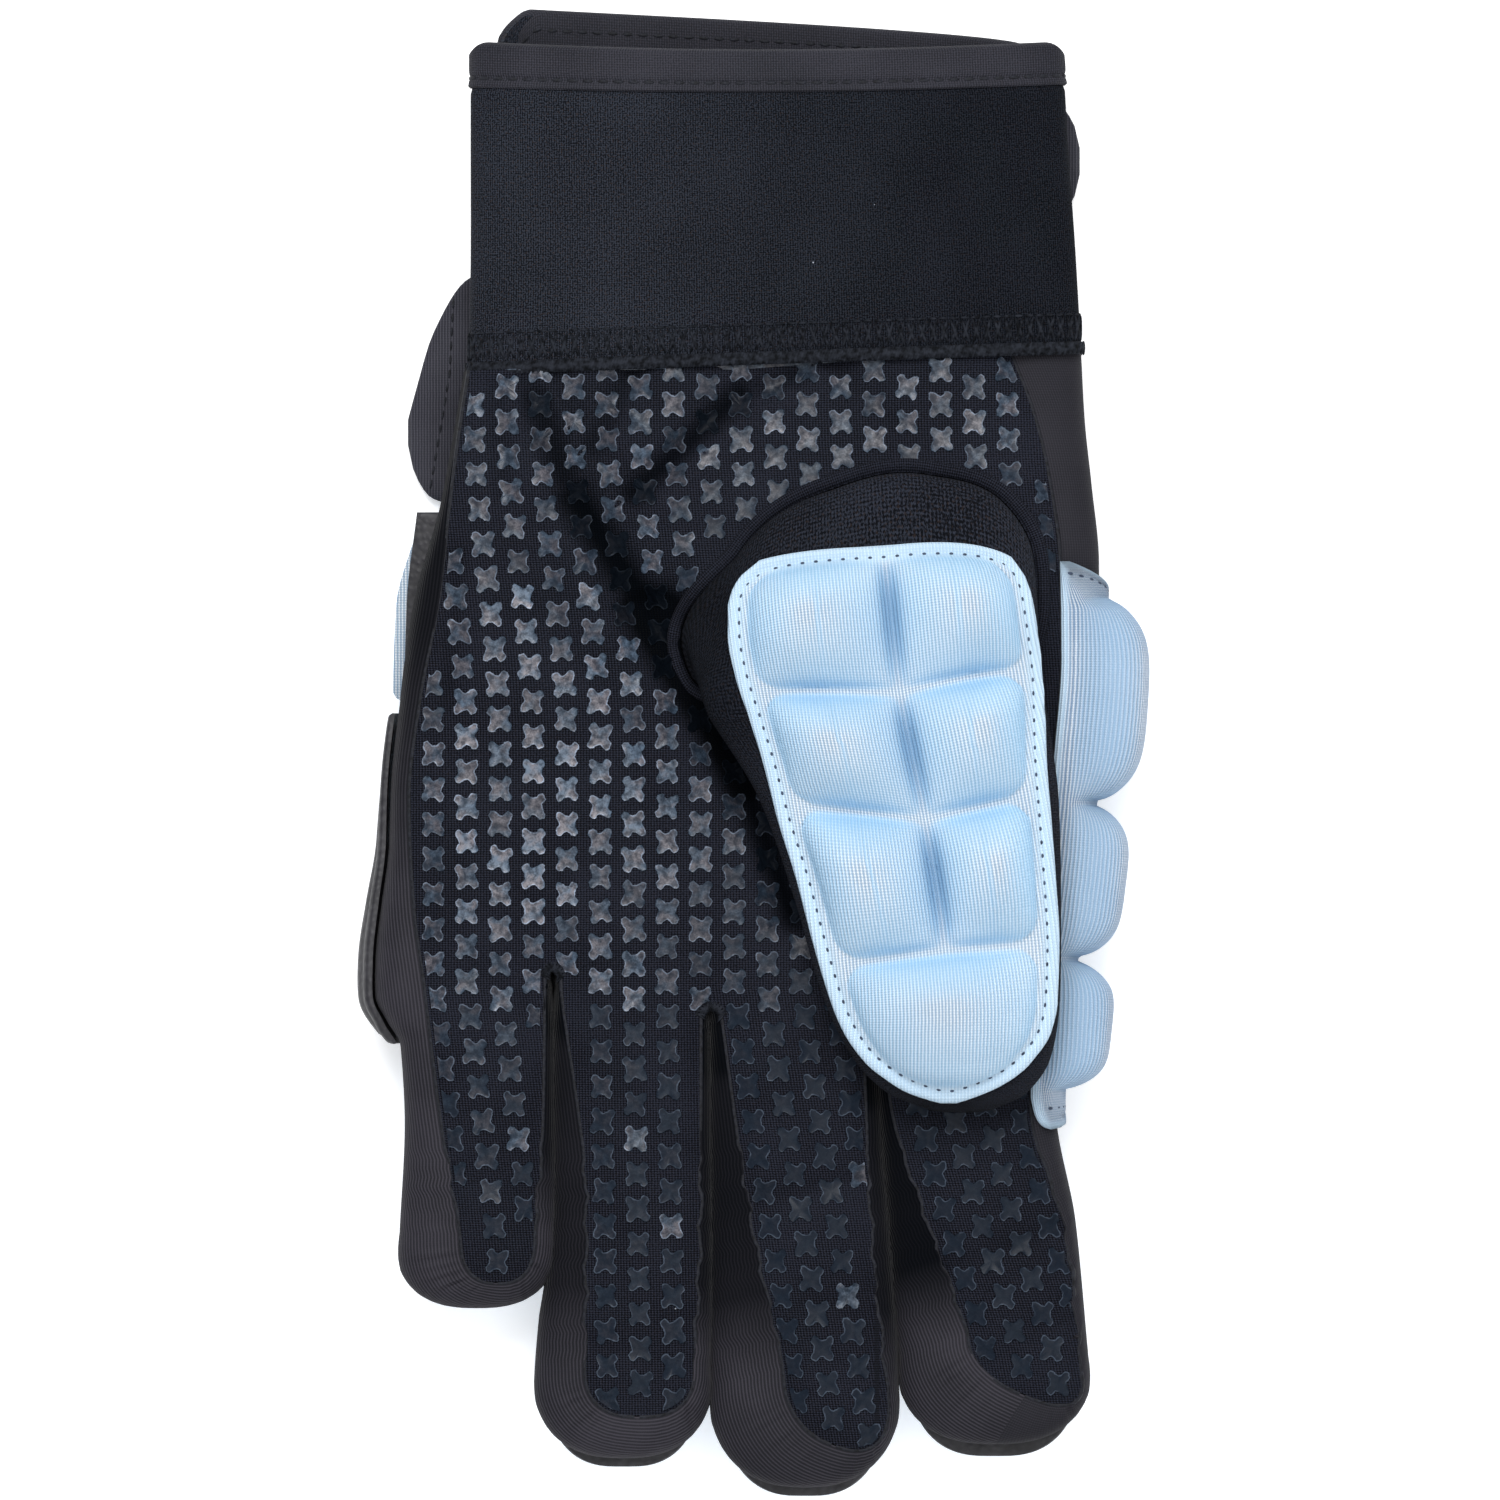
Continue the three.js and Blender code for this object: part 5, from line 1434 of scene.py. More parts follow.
pad_y = np.linspace(THUMB_PAD_ROWS["y"][0], THUMB_PAD_ROWS["y"][-1], PAD_GRID[0])[:, None]
left, centre, right = edge_columns(pad_y)
pad_x = left + (right - left) * np.linspace(0, 1, PAD_GRID[1])[None]
pad_y = pad_y + 0 * pad_x
plan_y = pad_plan(pad_y, pad_x)


def lump_heights(x, y, left, centre, right, lumps, margin):
    """Height of the foam over a pad with rows of lumps, split in two by a centre channel."""
    inner = left + np.minimum(margin, (centre - left) * MARGIN_SHARE)
    outer = right - np.minimum(margin, (right - centre) * MARGIN_SHARE)
    total = np.zeros(np.shape(x))
    for lump in lumps:
        from_end = np.minimum(lump["from"] - y, y - lump["to"])
        lengthwise = crowned(lump["from"] - y, y - lump["to"], HIGH_CREST)
        halves = [(inner, centre - HALF_CHANNEL, -1), (centre + HALF_CHANNEL, outer, 1)]
        for start, end, side in halves if lump["split"] else [(inner, outer, 0)]:
            from_side = np.minimum(x - start, end - x)
            corner = np.where(side * (2 * x - start - end) < 0, INNER_CORNER, OUTER_CORNER)
            across = crowned(x - start, end - x, 0.5 + OUTER_CREST * side)
            rise = lengthwise * across * rounded(from_side, from_end, corner)
            total = np.maximum(total, lump["height"] * np.where((from_side > 0) & (from_end > 0), rise, 0))
    return total


# %% [markdown]
# Laminated knit and sewn edges
# The pads are pale blue knit bonded to foam. Stretched over the steep sides of a lump the knit looks bluer,
# and flat it looks paler, so the steepness of the foam is stored on the mesh and tints the colour; that
# bluer tint is partly the stretched knit and partly painted shade. The channel between two lumps is stored
# too and painted darker, as painted shade, and the woven rim round the pad is paler. Along the flange runs
# a line of stitches, 2 mm inside the edge, that pulls a small groove into the foam.

# %% The pad fabric
# The colour of the painted shade in the channels between the lumps.
CHANNEL_SHADE_BLUE = linear(104, 142, 176)
WOVEN_RIM = linear(191, 218, 238)
CHANNEL_DEPTH = 3.4
CHANNEL_WIDTH = 1.9
CENTRE_SHADE = 0.85


def in_channel(height, from_rim):
    """How deep a place lies between the lumps, from 0 to 1."""
    return np.exp(-(height / CHANNEL_DEPTH) ** 2) * ramp(from_rim, 4.2, 6.8)


def narrow_rim(from_rim):
    """The paler rim of a pad, from 1 at its edge to 0 further in."""
    return ramp(from_rim, 1.6, 0.6)


def stretched(material, blue):
    """Tints a knit bluer on the steep sides of a lump, partly as painted shade, paints its channels darker as
    painted shade, and makes it paler along a woven rim.
    """
    tree = material.node_tree
    shader = tree.nodes["Principled BSDF"]
    steep = put(tree, "ShaderNodeAttribute", attribute_name="steepness")
    rim = put(tree, "ShaderNodeAttribute", attribute_name="rim")
    channel = put(tree, "ShaderNodeAttribute", attribute_name="channel")
    flat_colour = shader.inputs["Base Color"].links[0].from_socket
    # The bluer steep sides are partly the stretched knit and partly painted shade.
    part = calc(tree, "MULTIPLY", calc(tree, "SUBTRACT", steep.outputs["Fac"], 0.12), 1.25)
    part = put(tree, "ShaderNodeClamp", {"Value": part, "Max": 0.9}).outputs["Result"]
    tinted = blend_colours(tree, part, flat_colour, blue)
    # Painted shade in the channels between the lumps.
    tinted = blend_colours(tree, channel.outputs["Fac"], tinted, CHANNEL_SHADE_BLUE)
    tinted = blend_colours(tree, calc(tree, "MULTIPLY", rim.outputs["Fac"], 0.7), tinted, WOVEN_RIM)
    tree.links.new(tinted, shader.inputs["Base Color"])
    return material


pad_knit = fabric(
    "pad_knit", [(144, 168, 192), (224, 231, 237)], (0.56, 0.45, 0.5), bump=0.14, roughness=0.85, sheen=0.04,
    fleck=0.12, cloud=0.2)
pad_cloth = stretched(pad_knit, linear(158, 207, 242))


# %% Stitches along a path
def spaced(path, pitch):
    """Places every so far along a path of rows of numbers, with their directions."""
    travelled = np.concatenate([[0], np.cumsum(np.linalg.norm(np.diff(path[:, :3], axis=0), axis=-1))])
    at = np.arange(pitch / 2, travelled[-1], pitch)
    def read(where):
        return np.stack([np.interp(where, travelled, path[:, k]) for k in range(path.shape[1])], -1)
    return read(at), unit(read(at + 0.4)[:, :3] - read(at - 0.4)[:, :3])


def stitches(name, path, up, pitch, size, turn=0.0):
    """Short thread stitches along a path. size is length, width and height in millimetres."""
    bpy.ops.mesh.primitive_uv_sphere_add(segments=8, ring_count=6, radius=0.5 * MM)
    pattern = bpy.context.object
    shape = vertex_places(pattern) * size
    at, ahead = spaced(np.concatenate([path, up], -1), pitch)
    side = unit(np.cross(unit(at[:, 3:]), ahead))
    up_at = np.cross(ahead, side)
    turned = ahead * math.cos(math.radians(turn)) + side * math.sin(math.radians(turn))
    side = np.cross(up_at, turned)
    axes = np.stack([turned, side, up_at], 1)
    return copies(name, pattern, at[:, None, :3] + np.einsum("sk,nkd->nsd", shape, axes))


STITCH_INSET = 1.9
STITCH_GROOVE = 0.45
GROOVE_WIDTH = 0.55
RIM_LOW = 0.45
RIM_ROLL = 0.9


def sunk_flange(distance):
    """Height of a flange from its edge inwards, with its rounded rim and its stitched groove."""
    rim = FLANGE * (RIM_LOW + (1 - RIM_LOW) * swell(distance, RIM_ROLL))
    return rim - STITCH_GROOVE * np.exp(-((distance - STITCH_INSET) / GROOVE_WIDTH) ** 2)


def stitched_path(outline, inset):
    """A closed outline in plan moved inwards and smoothed."""
    centre = outline.mean(0)
    step = np.roll(outline, -2, 0) - np.roll(outline, 2, 0)
    inward = unit(np.stack([-step[:, 1], step[:, 0]], -1))
    inward = inward * np.sign((inward * (centre - outline)).sum(-1).mean())
    line = outline + inward * inset
    for _ in range(6):
        line = (np.roll(line, 1, 0) + 2 * line + np.roll(line, -1, 0)) / 4
    return line


# %% The thumb pad
edge_y = np.linspace(THUMB_PAD_ROWS["y"][0], THUMB_PAD_ROWS["y"][-1], 120)
edge_left, _, edge_right = edge_columns(edge_y)
top_run = np.linspace(0, 1, 24)[1:-1]
top_x = edge_right[0] + (edge_left[0] - edge_right[0]) * top_run
tip_run = top_run[::4]
thumb_outline = np.concatenate([
    np.stack([edge_left, edge_y], -1),
    np.stack([edge_left[-1] + (edge_right[-1] - edge_left[-1]) * tip_run, edge_y[-1] + 0 * tip_run], -1),
    np.stack([edge_right, edge_y], -1)[::-1],
    np.stack([top_x, edge_y[0] + 0 * top_x], -1)])
foam = lump_heights(pad_x, pad_y, left, centre, right, THUMB_LUMPS, THUMB_MARGIN)
from_rim = distance_to_path(pad_x, pad_y, np.concatenate([thumb_outline, thumb_outline[:1]]))
flange = sunk_flange(from_rim)
base = thumb_top(pad_x, plan_y)
away = normals_of(thumb_top, pad_x, plan_y)
beside = [np.clip(crowned(lump["from"] - pad_y, pad_y - lump["to"], HIGH_CREST), 0, 1) * lump["split"]
          for lump in THUMB_LUMPS]
# Painted shade: the centre channel between the split lumps is painted darker.
channel = CENTRE_SHADE * np.max(beside, 0) * np.exp(-((pad_x - centre) / CHANNEL_WIDTH) ** 2)
thumb_pad = foam_body(
    "thumb_pad_foam", base + away * (PAD_GAP + flange + foam)[..., None], base + away * PAD_GAP,
    (pad_x - centre, pad_y), steepness=steepness(foam, pad_x, pad_y), channel=channel,
    rim=ramp(from_rim, 3.4, 2.2))
dress(thumb_pad, pad_cloth, "pad_fabric", "thumb_pad")

# %% The stitches of the thumb pad
line = stitched_path(thumb_outline, STITCH_INSET)
line_y = pad_plan(line[:, 1], line[:, 0])
up = normals_of(thumb_top, line[:, 0], line_y)
seat = thumb_top(line[:, 0], line_y) + up * (PAD_GAP + FLANGE - STITCH_GROOVE + 0.02)
thumb_stitches = stitches("thumb_pad_stitches", seat, up, pitch=2.3, size=(0.8, 0.55, 0.3))
dress(thumb_stitches, hole_thread, "pad_fabric")

# %% [markdown]
# Pads wrapped round the sides
# The same foam wraps round the index side in three lumps, and a flatter leather pad sits on the little
# side. Their sheets are laid in degrees round the side of the hand, because that is how a flat pad lands on
# a rolled edge. Short stitches hold the blue pad at its top edge and along the tab at its lower end.

# %% A pad round a side
WRAP_GAP = 0.6
SIDE_CROWN = 4.2
INDEX_PAD = {
    "rows": {"y": [32.4, 31, 29, 26.5, 24, -54, -58, -60.6, -62.4, -63.5, -64],
             "from": [0, 0, 0, 0, 0, 0, 0, 4, 10, 20, 34],
             "to": [10, 36, 74, 120, 160, 160, 140, 118, 96, 80, 62]},
    "lumps": [(26.0, -8.1, 7.2), (-9.0, -34.6, 6.4), (-35.4, -57.4, 7.0)],
    "low": 16, "high": 158, "roll": 52, "slant": 0,
}
LITTLE_PAD = {
    "rows": {"y": [6.5, 2.5, -44, -49.5], "from": [92, 82, 80, 92], "to": [130, 156, 156, 130]},
    "lumps": [(6.0, -49.0, 2.4)],
    "low": 78, "high": 154, "roll": 24, "slant": 0.9,
}


def wrapped_surface(name, side):
    """The side of the hand as a surface by degrees round it and height."""
    def surface(angle, y):
        places = side_places(name, side, y)
        swell_out = side_swell(name, side, y, angle)
        return roll_places(places[..., 0, :], places[..., 1, :], places[..., 2, :], angle, swell_out)
    return surface


def wrapped_pad(name, side, pad, rows, columns):
    """The foam body of a pad round a side."""
    surface = wrapped_surface(name, side)
    y = np.linspace(pad["rows"]["y"][0], pad["rows"]["y"][-1], rows)[:, None]
    start, end = along(pad["rows"], "from", y), along(pad["rows"], "to", y)
    angle = start + (end - start) * np.linspace(0, 1, columns)[None]
    y = y + 0 * angle
    rising = (1 - cosine(180 * ramp(angle, pad["low"], pad["low"] + pad["roll"]))) / 2
    across = rising * swell(pad["high"] - angle, pad["roll"])
    lower = pad["rows"]["y"][-1]
    across = across * (1 - pad["slant"] * ramp(y, lower, lower + 44))
    foam = np.zeros(angle.shape)
    for top, bottom, height in pad["lumps"]:
        lengthwise = crowned(top - y, y - bottom, crown=SIDE_CROWN)
        foam = np.maximum(foam, height * lengthwise * across)
    base = surface(angle, y)
    away = normals_of(surface, angle, y) * (1 if side == "right" else -1)
    cloth_x = row_lengths(base)
    edge = np.minimum(cloth_x, cloth_x[:, -1:] - cloth_x)
    edge = np.minimum(edge, np.minimum(pad["rows"]["y"][0] - y, y - pad["rows"]["y"][-1]))
    flange = sunk_flange(edge)
    upper = base + away * (WRAP_GAP + flange + foam)[..., None]
    # Painted shade: the channels between the lumps are painted darker.
    return foam_body(
        name + "_side_pad_foam", upper, base + away * WRAP_GAP, (run_along(upper, 1), y),
        steepness=steepness(foam, cloth_x, y), channel=0.3 * in_channel(foam, edge), rim=narrow_rim(edge))


# %% The index side pad
side_knit = fabric(
    "side_pad_knit", [(118, 144, 173), (209, 217, 226)], (0.62, 0.42, 0.4), bump=0.16, roughness=0.85,
    sheen=0.04, fleck=0.12, cloud=0.3)
side_cloth = stretched(side_knit, linear(150, 180, 208))
index_side = wrapped_pad("index", "right", INDEX_PAD, 220, 90)
dress(index_side, side_cloth, "pad_fabric", "index_side_pad")

# %% The stitches of the index side pad
index_surface = wrapped_surface("index", "right")
tab_turns, top_turns = np.linspace(22, 92, 30), np.linspace(4, 112, 60)
seam_lines = [(tab_turns, -60.4 + 0 * tab_turns), (top_turns, 30.6 - 4.6 * (top_turns / 112) ** 1.2)]
side_stitches = []
for turns, heights in seam_lines:
    up = normals_of(index_surface, turns, heights)
    seat = index_surface(turns, heights) + up * (WRAP_GAP + FLANGE - 0.1)
    side_stitches.append(stitches("side_stitches", seat, up, pitch=2.0, size=(1.0, 0.5, 0.3)))
dress(join("index_side_pad_stitches", side_stitches), hole_thread, "pad_fabric")

# %% [markdown]
# Leather
# Synthetic leather has a pebbled grain: small rounded cells with fine valleys between them. A Voronoi
# pattern gives the cells, its distance gives the bump, and a little sheen comes from a medium roughness.

# %% The leather group and the little side pad
leather_group, entry, leave = new_group("leather grain", [("Grain", "Float", 0.9)], [("Height", "Float")])
place = put(leather_group, "ShaderNodeTexCoord")
scale = calc(leather_group, "DIVIDE", 1 / MM, entry.outputs["Grain"])
spot = place.outputs["Object"]
warp = put(leather_group, "ShaderNodeTexNoise", {"Vector": spot, "Scale": 900.0, "Detail": 1.0})
warped = put(
    leather_group, "ShaderNodeVectorMath", {0: warp.outputs["Color"], "Scale": 0.35 * MM}, operation="SCALE")
moved = put(leather_group, "ShaderNodeVectorMath", {0: spot, 1: warped.outputs[0]}, operation="ADD")
pebble = put(
    leather_group, "ShaderNodeTexVoronoi", {"Vector": moved.outputs[0], "Scale": scale}, feature="SMOOTH_F1")
height = calc(leather_group, "SUBTRACT", 1.0, pebble.outputs["Distance"])
leather_group.links.new(height, leave.inputs["Height"])


def leather(name, hollow, crown, grain, bump, roughness):
    """Synthetic leather with a pebbled grain, in millimetres."""
    material, tree, shader = new_material(name)
    pebbles = use_group(tree, leather_group, {"Grain": grain})
    tone = use_group(tree, cloud_group, {"Size": 9.0, "Strength": 1.0})
    mixed = calc(tree, "MULTIPLY", pebbles.outputs["Height"], calc(tree, "ADD", tone.outputs["Cloud"], 0.5))
    tree.links.new(blend_colours(tree, mixed, hollow, crown), shader.inputs["Base Color"])
    relief = put(tree, "ShaderNodeBump", {"Height": pebbles.outputs["Height"], "Distance": bump * MM})
    tree.links.new(relief.outputs["Normal"], shader.inputs["Normal"])
    shader.inputs["Roughness"].default_value = roughness
    shader.inputs["Specular IOR Level"].default_value = 0.4
    return material


black_leather = leather(
    "black_leather", linear(14, 14, 18), linear(46, 45, 50), grain=0.95, bump=0.14, roughness=0.5)
little_side = wrapped_pad("little", "left", LITTLE_PAD, 120, 60)
dress(little_side, black_leather, "backing", "little_side_pad")

# %% [markdown]
# The back of the hand
# The back is a plain sheet of charcoal lycra sewn between the side strips, cut out of a level grid along
# the back seam. Under it sit a leather panel and nine foam lumps, and a leather and foam plate under each
# finger. They carry the glove, so their crowns are pressed flat against the table.

# %% The back sheet
BACK_WALL = 1.3
BACK_PITCH = 1.5
BACK_REACH = (1, 20)
xs, ys = np.meshgrid(np.arange(*HAND_WIDTH, BACK_PITCH), np.arange(66.5, -126, -BACK_PITCH))
places = np.stack([xs, ys, along(HEIGHTS, "bottom", ys)], -1)
back_panel = lay_sheet("back_panel_cloth", places)
thicken(back_panel, BACK_WALL)
cut(back_panel, outline_of(2, SEAM_GAP), *BACK_REACH, "INTERSECT")
smooth(back_panel)
dress(back_panel, stretch_cloth, "stretch_fabric", "back_panel")

# %% Pads pressed on the table
BASE_TOP = 9.5
BASE_THICKNESS = 2.1
LIP_THICKNESS = 1.5
BACK_BASE_ROWS = {
    "y": [41, 26, 11, 6.5, -40, -45],
    "left": [-57.3, -59, -59.4, -55, -54, -50],
    "right": [41, 45, 45, 45, 43, 40],
}
BACK_PAD_ROWS = {
    "y": [38, 34.7, 25, 10, 6, -38, -42],
    "left": [-57, -58.4, -60.9, -61.4, -56, -54.2, -51],
    "right": [38.5, 42, 43, 43, 43, 41, 38],
}
BACK_LUMP_ROWS = [(36.2, 9.6), (8.4, -15.6), (-16.8, -40.4)]
BACK_LUMP_SHARES = [(0.02, 0.325), (0.34, 0.66), (0.675, 0.98)]
PRESS = 1.35
REST_GAP = 0.15
PLATE_GRID = (60, 30)
PLATE_RIM = 0.3
PLATE_ROLL = 0.8
REST_ROWS = 90


def plate(name, rows, low, high, material):
    """A leather plate with rounded edges between two heights."""
    share = (1 - cosine(np.linspace(0, 180, PLATE_GRID[0])))[:, None]
    y = rows["y"][0] + (rows["y"][-1] - rows["y"][0]) * share / 2
    left, right = along(rows, "left", y), along(rows, "right", y)
    x = left + (right - left) * np.linspace(0, 1, PLATE_GRID[1])[None]
    y = y + 0 * x
    edge = np.minimum(np.minimum(x - left, right - x), np.minimum(rows["y"][0] - y, y - rows["y"][-1]))
    half = (high - low) / 2 * (PLATE_RIM + (1 - PLATE_RIM) * swell(edge, PLATE_ROLL))
    middle = (high + low) / 2
    sheets = [np.stack([x, y, middle + side * half], -1) for side in (1, -1)]
    body = foam_body(name, *sheets, (x, y))
    return dress(body, material, "backing", name.replace("_leather", ""))


def resting_pad(name, rows, top, lump_rows, shares, roll, node):
    """Foam lumps hanging from a level top and pressed flat where they rest."""
    y = np.linspace(rows["y"][0], rows["y"][-1], REST_ROWS)[:, None]
    left, right = along(rows, "left", y), along(rows, "right", y)
    x = left + (right - left) * np.linspace(0, 1, REST_ROWS if len(shares) > 1 else 40)[None]
    y = y + 0 * x
    lengthwise = np.max([swell(start - y, roll) * swell(y - end, roll) for start, end in lump_rows], 0)
    cells = [(left + (right - left) * start, left + (right - left) * end) for start, end in shares]
    across = np.max([swell(x - start, roll) * swell(end - x, roll) for start, end in cells], 0)
    foam = (top - FLANGE - REST_GAP) * np.clip(lengthwise * across * PRESS, 0, 1)
    under = np.stack([x, y, top - FLANGE - foam], -1)
    edge = np.minimum(np.minimum(x - left, right - x), np.minimum(rows["y"][0] - y, y - rows["y"][-1]))
    # Painted shade: the channels between the lumps are painted darker.
    body = foam_body(name, under, np.stack([x, y, 0 * x + top], -1), (x, y), steepness=steepness(foam, x, y),
                     channel=0.5 * in_channel(foam, edge), rim=narrow_rim(edge))
    dress(body, pad_cloth, "pad_fabric", node)


plate("back_pad_base_leather", BACK_BASE_ROWS, BASE_TOP - BASE_THICKNESS, BASE_TOP, black_leather)
resting_pad("back_pad_foam", BACK_PAD_ROWS, BASE_TOP - BASE_THICKNESS - PAD_GAP, BACK_LUMP_ROWS,
            BACK_LUMP_SHARES, 6, "back_pad")

# %% A leather plate and three lumps under each finger
LIP_INSET = 4.4
PAD_INSET = 0.7
FINGER_LUMPS = 3
PAD_MARGIN = 1.2
CHANNEL = 1.2
FINGER_ROLL = 5
ROOT_ROUND = 7.5
ROOT_SQUARE = 2.6
TIP_INSET = 1.0


def finger_rows(name, inset):
    """The outline of the padding under a finger: rounded at its root, and shaped like the fingertip."""
    rows, pad, tip = FINGERS[name]["rows"], FINGERS[name]["pad"], FINGERS[name]["tip"]
    last = rows["y"][-1]
    start, end = pad["root"] - inset, pad["tip"] + inset
    y = start + (end - start) * (1 - cosine(np.linspace(0, 180, 60))) / 2
    from_root = ramp(y, y[0], y[0] - ROOT_ROUND)
    root_share = 0.12 + 0.88 * (1 - (1 - from_root) ** ROOT_SQUARE) ** (1 / ROOT_SQUARE)
    beyond = ramp(y, last, y[-1])
    tip_share = 0.08 + 0.92 * (1 - beyond ** tip["square"]) ** (1 / tip["square"])
    narrower = LIP_INSET + (TIP_INSET - LIP_INSET) * np.clip(1.6 * beyond, 0, 1)
    left, right = along(rows, "left", y), along(rows, "right", y)
    half = root_share * tip_share * ((right - left) / 2 - narrower)
    half = half - inset * np.minimum(root_share, tip_share)
    return {"y": list(y), "left": list((left + right) / 2 - half), "right": list((left + right) / 2 + half)}


for name in FINGERS:
    plate(name + "_pad_base_leather", finger_rows(name, 0), BASE_TOP - LIP_THICKNESS, BASE_TOP, black_leather)
    rows = finger_rows(name, PAD_INSET)
    first, last = rows["y"][0] - PAD_MARGIN, rows["y"][-1] + PAD_MARGIN
    length = (first - last) / FINGER_LUMPS
    starts = first - length * np.arange(FINGER_LUMPS)
    lump_rows = [(start - CHANNEL / 2, start - length + CHANNEL / 2) for start in starts]
    resting_pad(name + "_finger_pad_foam", rows, BASE_TOP - LIP_THICKNESS - PAD_GAP, lump_rows,
                [(0.07, 0.93)], FINGER_ROLL, name + "_finger_pad")

# %% [markdown]
# The cuff
# The cuff is a tube of thin neoprene, squared off because it lies flat on the table, with its open end at
# the wrist. Its sections go round in degrees, and the back edge stands a little higher than the palm edge.
# The side towards the thumb is painted darker, as painted shade.

# %% Sections of the cuff
CUFF_ROWS = {
    "up": [0, 0.3, 0.7, 1],
    "x": [3.9, 3.6, 2.9, 2.5],
    "half_width": [52.5, 51.9, 51.2, 50.8],
    "low": [3.7, 3.7, 3.7, 3.7],
    "high": [22.2, 22.4, 21.4, 20.2],
}
CUFF_ROOT = 67.7
CUFF_TOP = 121.2
CUFF_SLANT = 0.035
CUFF_SQUARE = 2.8
CUFF_WALL = 2.8
BACK_EDGE = {"left": -43.8, "peak": -39.6, "right": 47, "height": 5.9}
FRONT_SAG = 1.5
CORNER_DROP = 1.7


def cuff_places(turn, up, offset):
    """A place on the cuff by degrees round it, share of its height, and offset from its surface."""
    x, half, low, high = (along(CUFF_ROWS, key, up) for key in ("x", "half_width", "low", "high"))
    rise, side = power(sine(turn), CUFF_SQUARE), power(cosine(turn), CUFF_SQUARE)
    across = x + half * side
    left, peak, right = BACK_EDGE["left"], BACK_EDGE["peak"], BACK_EDGE["right"]
    rising, falling = ramp(across, left, peak) ** 0.5, ramp(across, right, peak) ** 0.65
    top = CUFF_TOP + BACK_EDGE["height"] * np.where(across < peak, rising, falling) * np.clip(-2 * rise, 0, 1)
    top = top - FRONT_SAG * (1 - side ** 2) * np.clip(2 * rise, 0, 1)
    top = top - CORNER_DROP * ramp(np.abs(side), 0.965, 1) ** 2 * ramp(up, 0.93, 1)
    root = CUFF_ROOT + CUFF_SLANT * (across - x)
    z = (low + high) / 2 + ((high - low) / 2 + offset) * rise
    return np.stack([across + offset * side, root + (top - root) * up, z], -1)


# %% The cuff
CUFF_TURNS = np.linspace(0, 360, 193)[None]
BINDING_DEPTH = 7.6
TAPE = 0.5
CUFF_PRESSED = 0.3
CUFF_SOFT = 0.25
CUFF_WAVES = 7
CUFF_SHADE = 0.5
cuff_length = CUFF_TOP - CUFF_ROOT
BINDING_LOW = 1 - BINDING_DEPTH / cuff_length
ups = np.linspace(0, 1 - 2 * TAPE / cuff_length, 70)[:, None]
pressed = CUFF_PRESSED * ramp(ups, BINDING_LOW - 0.02, BINDING_LOW)
wave = np.sin(CUFF_TURNS * np.pi / 180 * CUFF_WAVES + 4 * ups) * np.sin(ups * np.pi)
soft = CUFF_SOFT * (wave * (1 - np.abs(cosine(CUFF_TURNS))) - 1)
cuff = lay_sheet("cuff_cloth", cuff_places(CUFF_TURNS, ups, soft - pressed), closed=True)
face_outwards(cuff)
thicken(cuff, CUFF_WALL - 0.4)
smooth(cuff)
# Painted shade: the cuff is painted darker towards the thumb side.
give_values(cuff, "painted_shade", CUFF_SHADE * ramp(vertex_places(cuff)[:, 0], -25, 35))
dress(cuff, cuff_cloth, "cuff_neoprene", "cuff")

# %% The binding folded over the open edge
BINDING_STITCH = 1 - (BINDING_DEPTH - 1.6) / cuff_length
outer, inner = 0.05, -CUFF_WALL - 0.7
fold = np.linspace(90, -90, 13)
middle, half = (outer + inner) / 2, (outer - inner) / 2
rise_over = half * 0.55 / cuff_length
sides = [
    [(outer - 0.2, BINDING_LOW), (outer + 0.12, BINDING_LOW + 0.006), (outer, BINDING_LOW + 0.02)],
    [(outer - 0.3 * math.exp(-((level - BINDING_STITCH) / 0.012) ** 2), level)
     for level in np.linspace(BINDING_LOW + 0.03, 1 - rise_over, 30)],
    [(middle + half * sine(turn), 1 - rise_over + rise_over * cosine(turn)) for turn in fold[1:-1]],
    [(inner, level) for level in np.linspace(1 - rise_over, BINDING_LOW, 8)],
    [(inner + TAPE, BINDING_LOW), (inner + TAPE, 1 - TAPE / cuff_length)],
    [(outer - TAPE, 1 - TAPE / cuff_length), (outer - TAPE, BINDING_LOW), (outer - 0.2, BINDING_LOW)],
]
profile = np.array([place for part in sides for place in part])
turns = np.linspace(0, 360, 241)
places = cuff_places(turns[None], profile[:, 1][:, None], profile[:, 0][:, None])
binding = lay_sheet("cuff_binding_cloth", places, closed=True)
face_outwards(binding)
smooth(binding)
dress(binding, binding_cloth, "binding", "cuff_binding")

# %% The stitches of the binding
turns = np.linspace(0, 360, 481)
seat = cuff_places(turns, BINDING_STITCH + 0 * turns, outer - 0.2)
up = unit(cuff_places(turns, BINDING_STITCH + 0 * turns, outer + 1) - seat)
binding_stitches = stitches("cuff_binding_stitches", seat, up, pitch=2.6, size=(1.9, 0.7, 0.4))
dress(binding_stitches, thread, "binding")

# %% The stitches inside the back edge
INNER_STITCH = 1 - 3.2 / cuff_length
turns = np.linspace(200, 340, 241)
seat = cuff_places(turns, INNER_STITCH + 0 * turns, inner - 0.02)
up = unit(cuff_places(turns, INNER_STITCH + 0 * turns, inner - 1) - seat)
inner_stitches = stitches("cuff_inner_stitches", seat, up, pitch=2.6, size=(1.9, 0.7, 0.4))
dress(inner_stitches, thread, "binding")

# %% [markdown]
# The wrist seam
# Glove and cuff are joined by a flat seam. Its lower edge is overlocked, which makes a thick twisted roll
# of thread, and above it stand slanting legs of thread in pairs under one line of stitches.

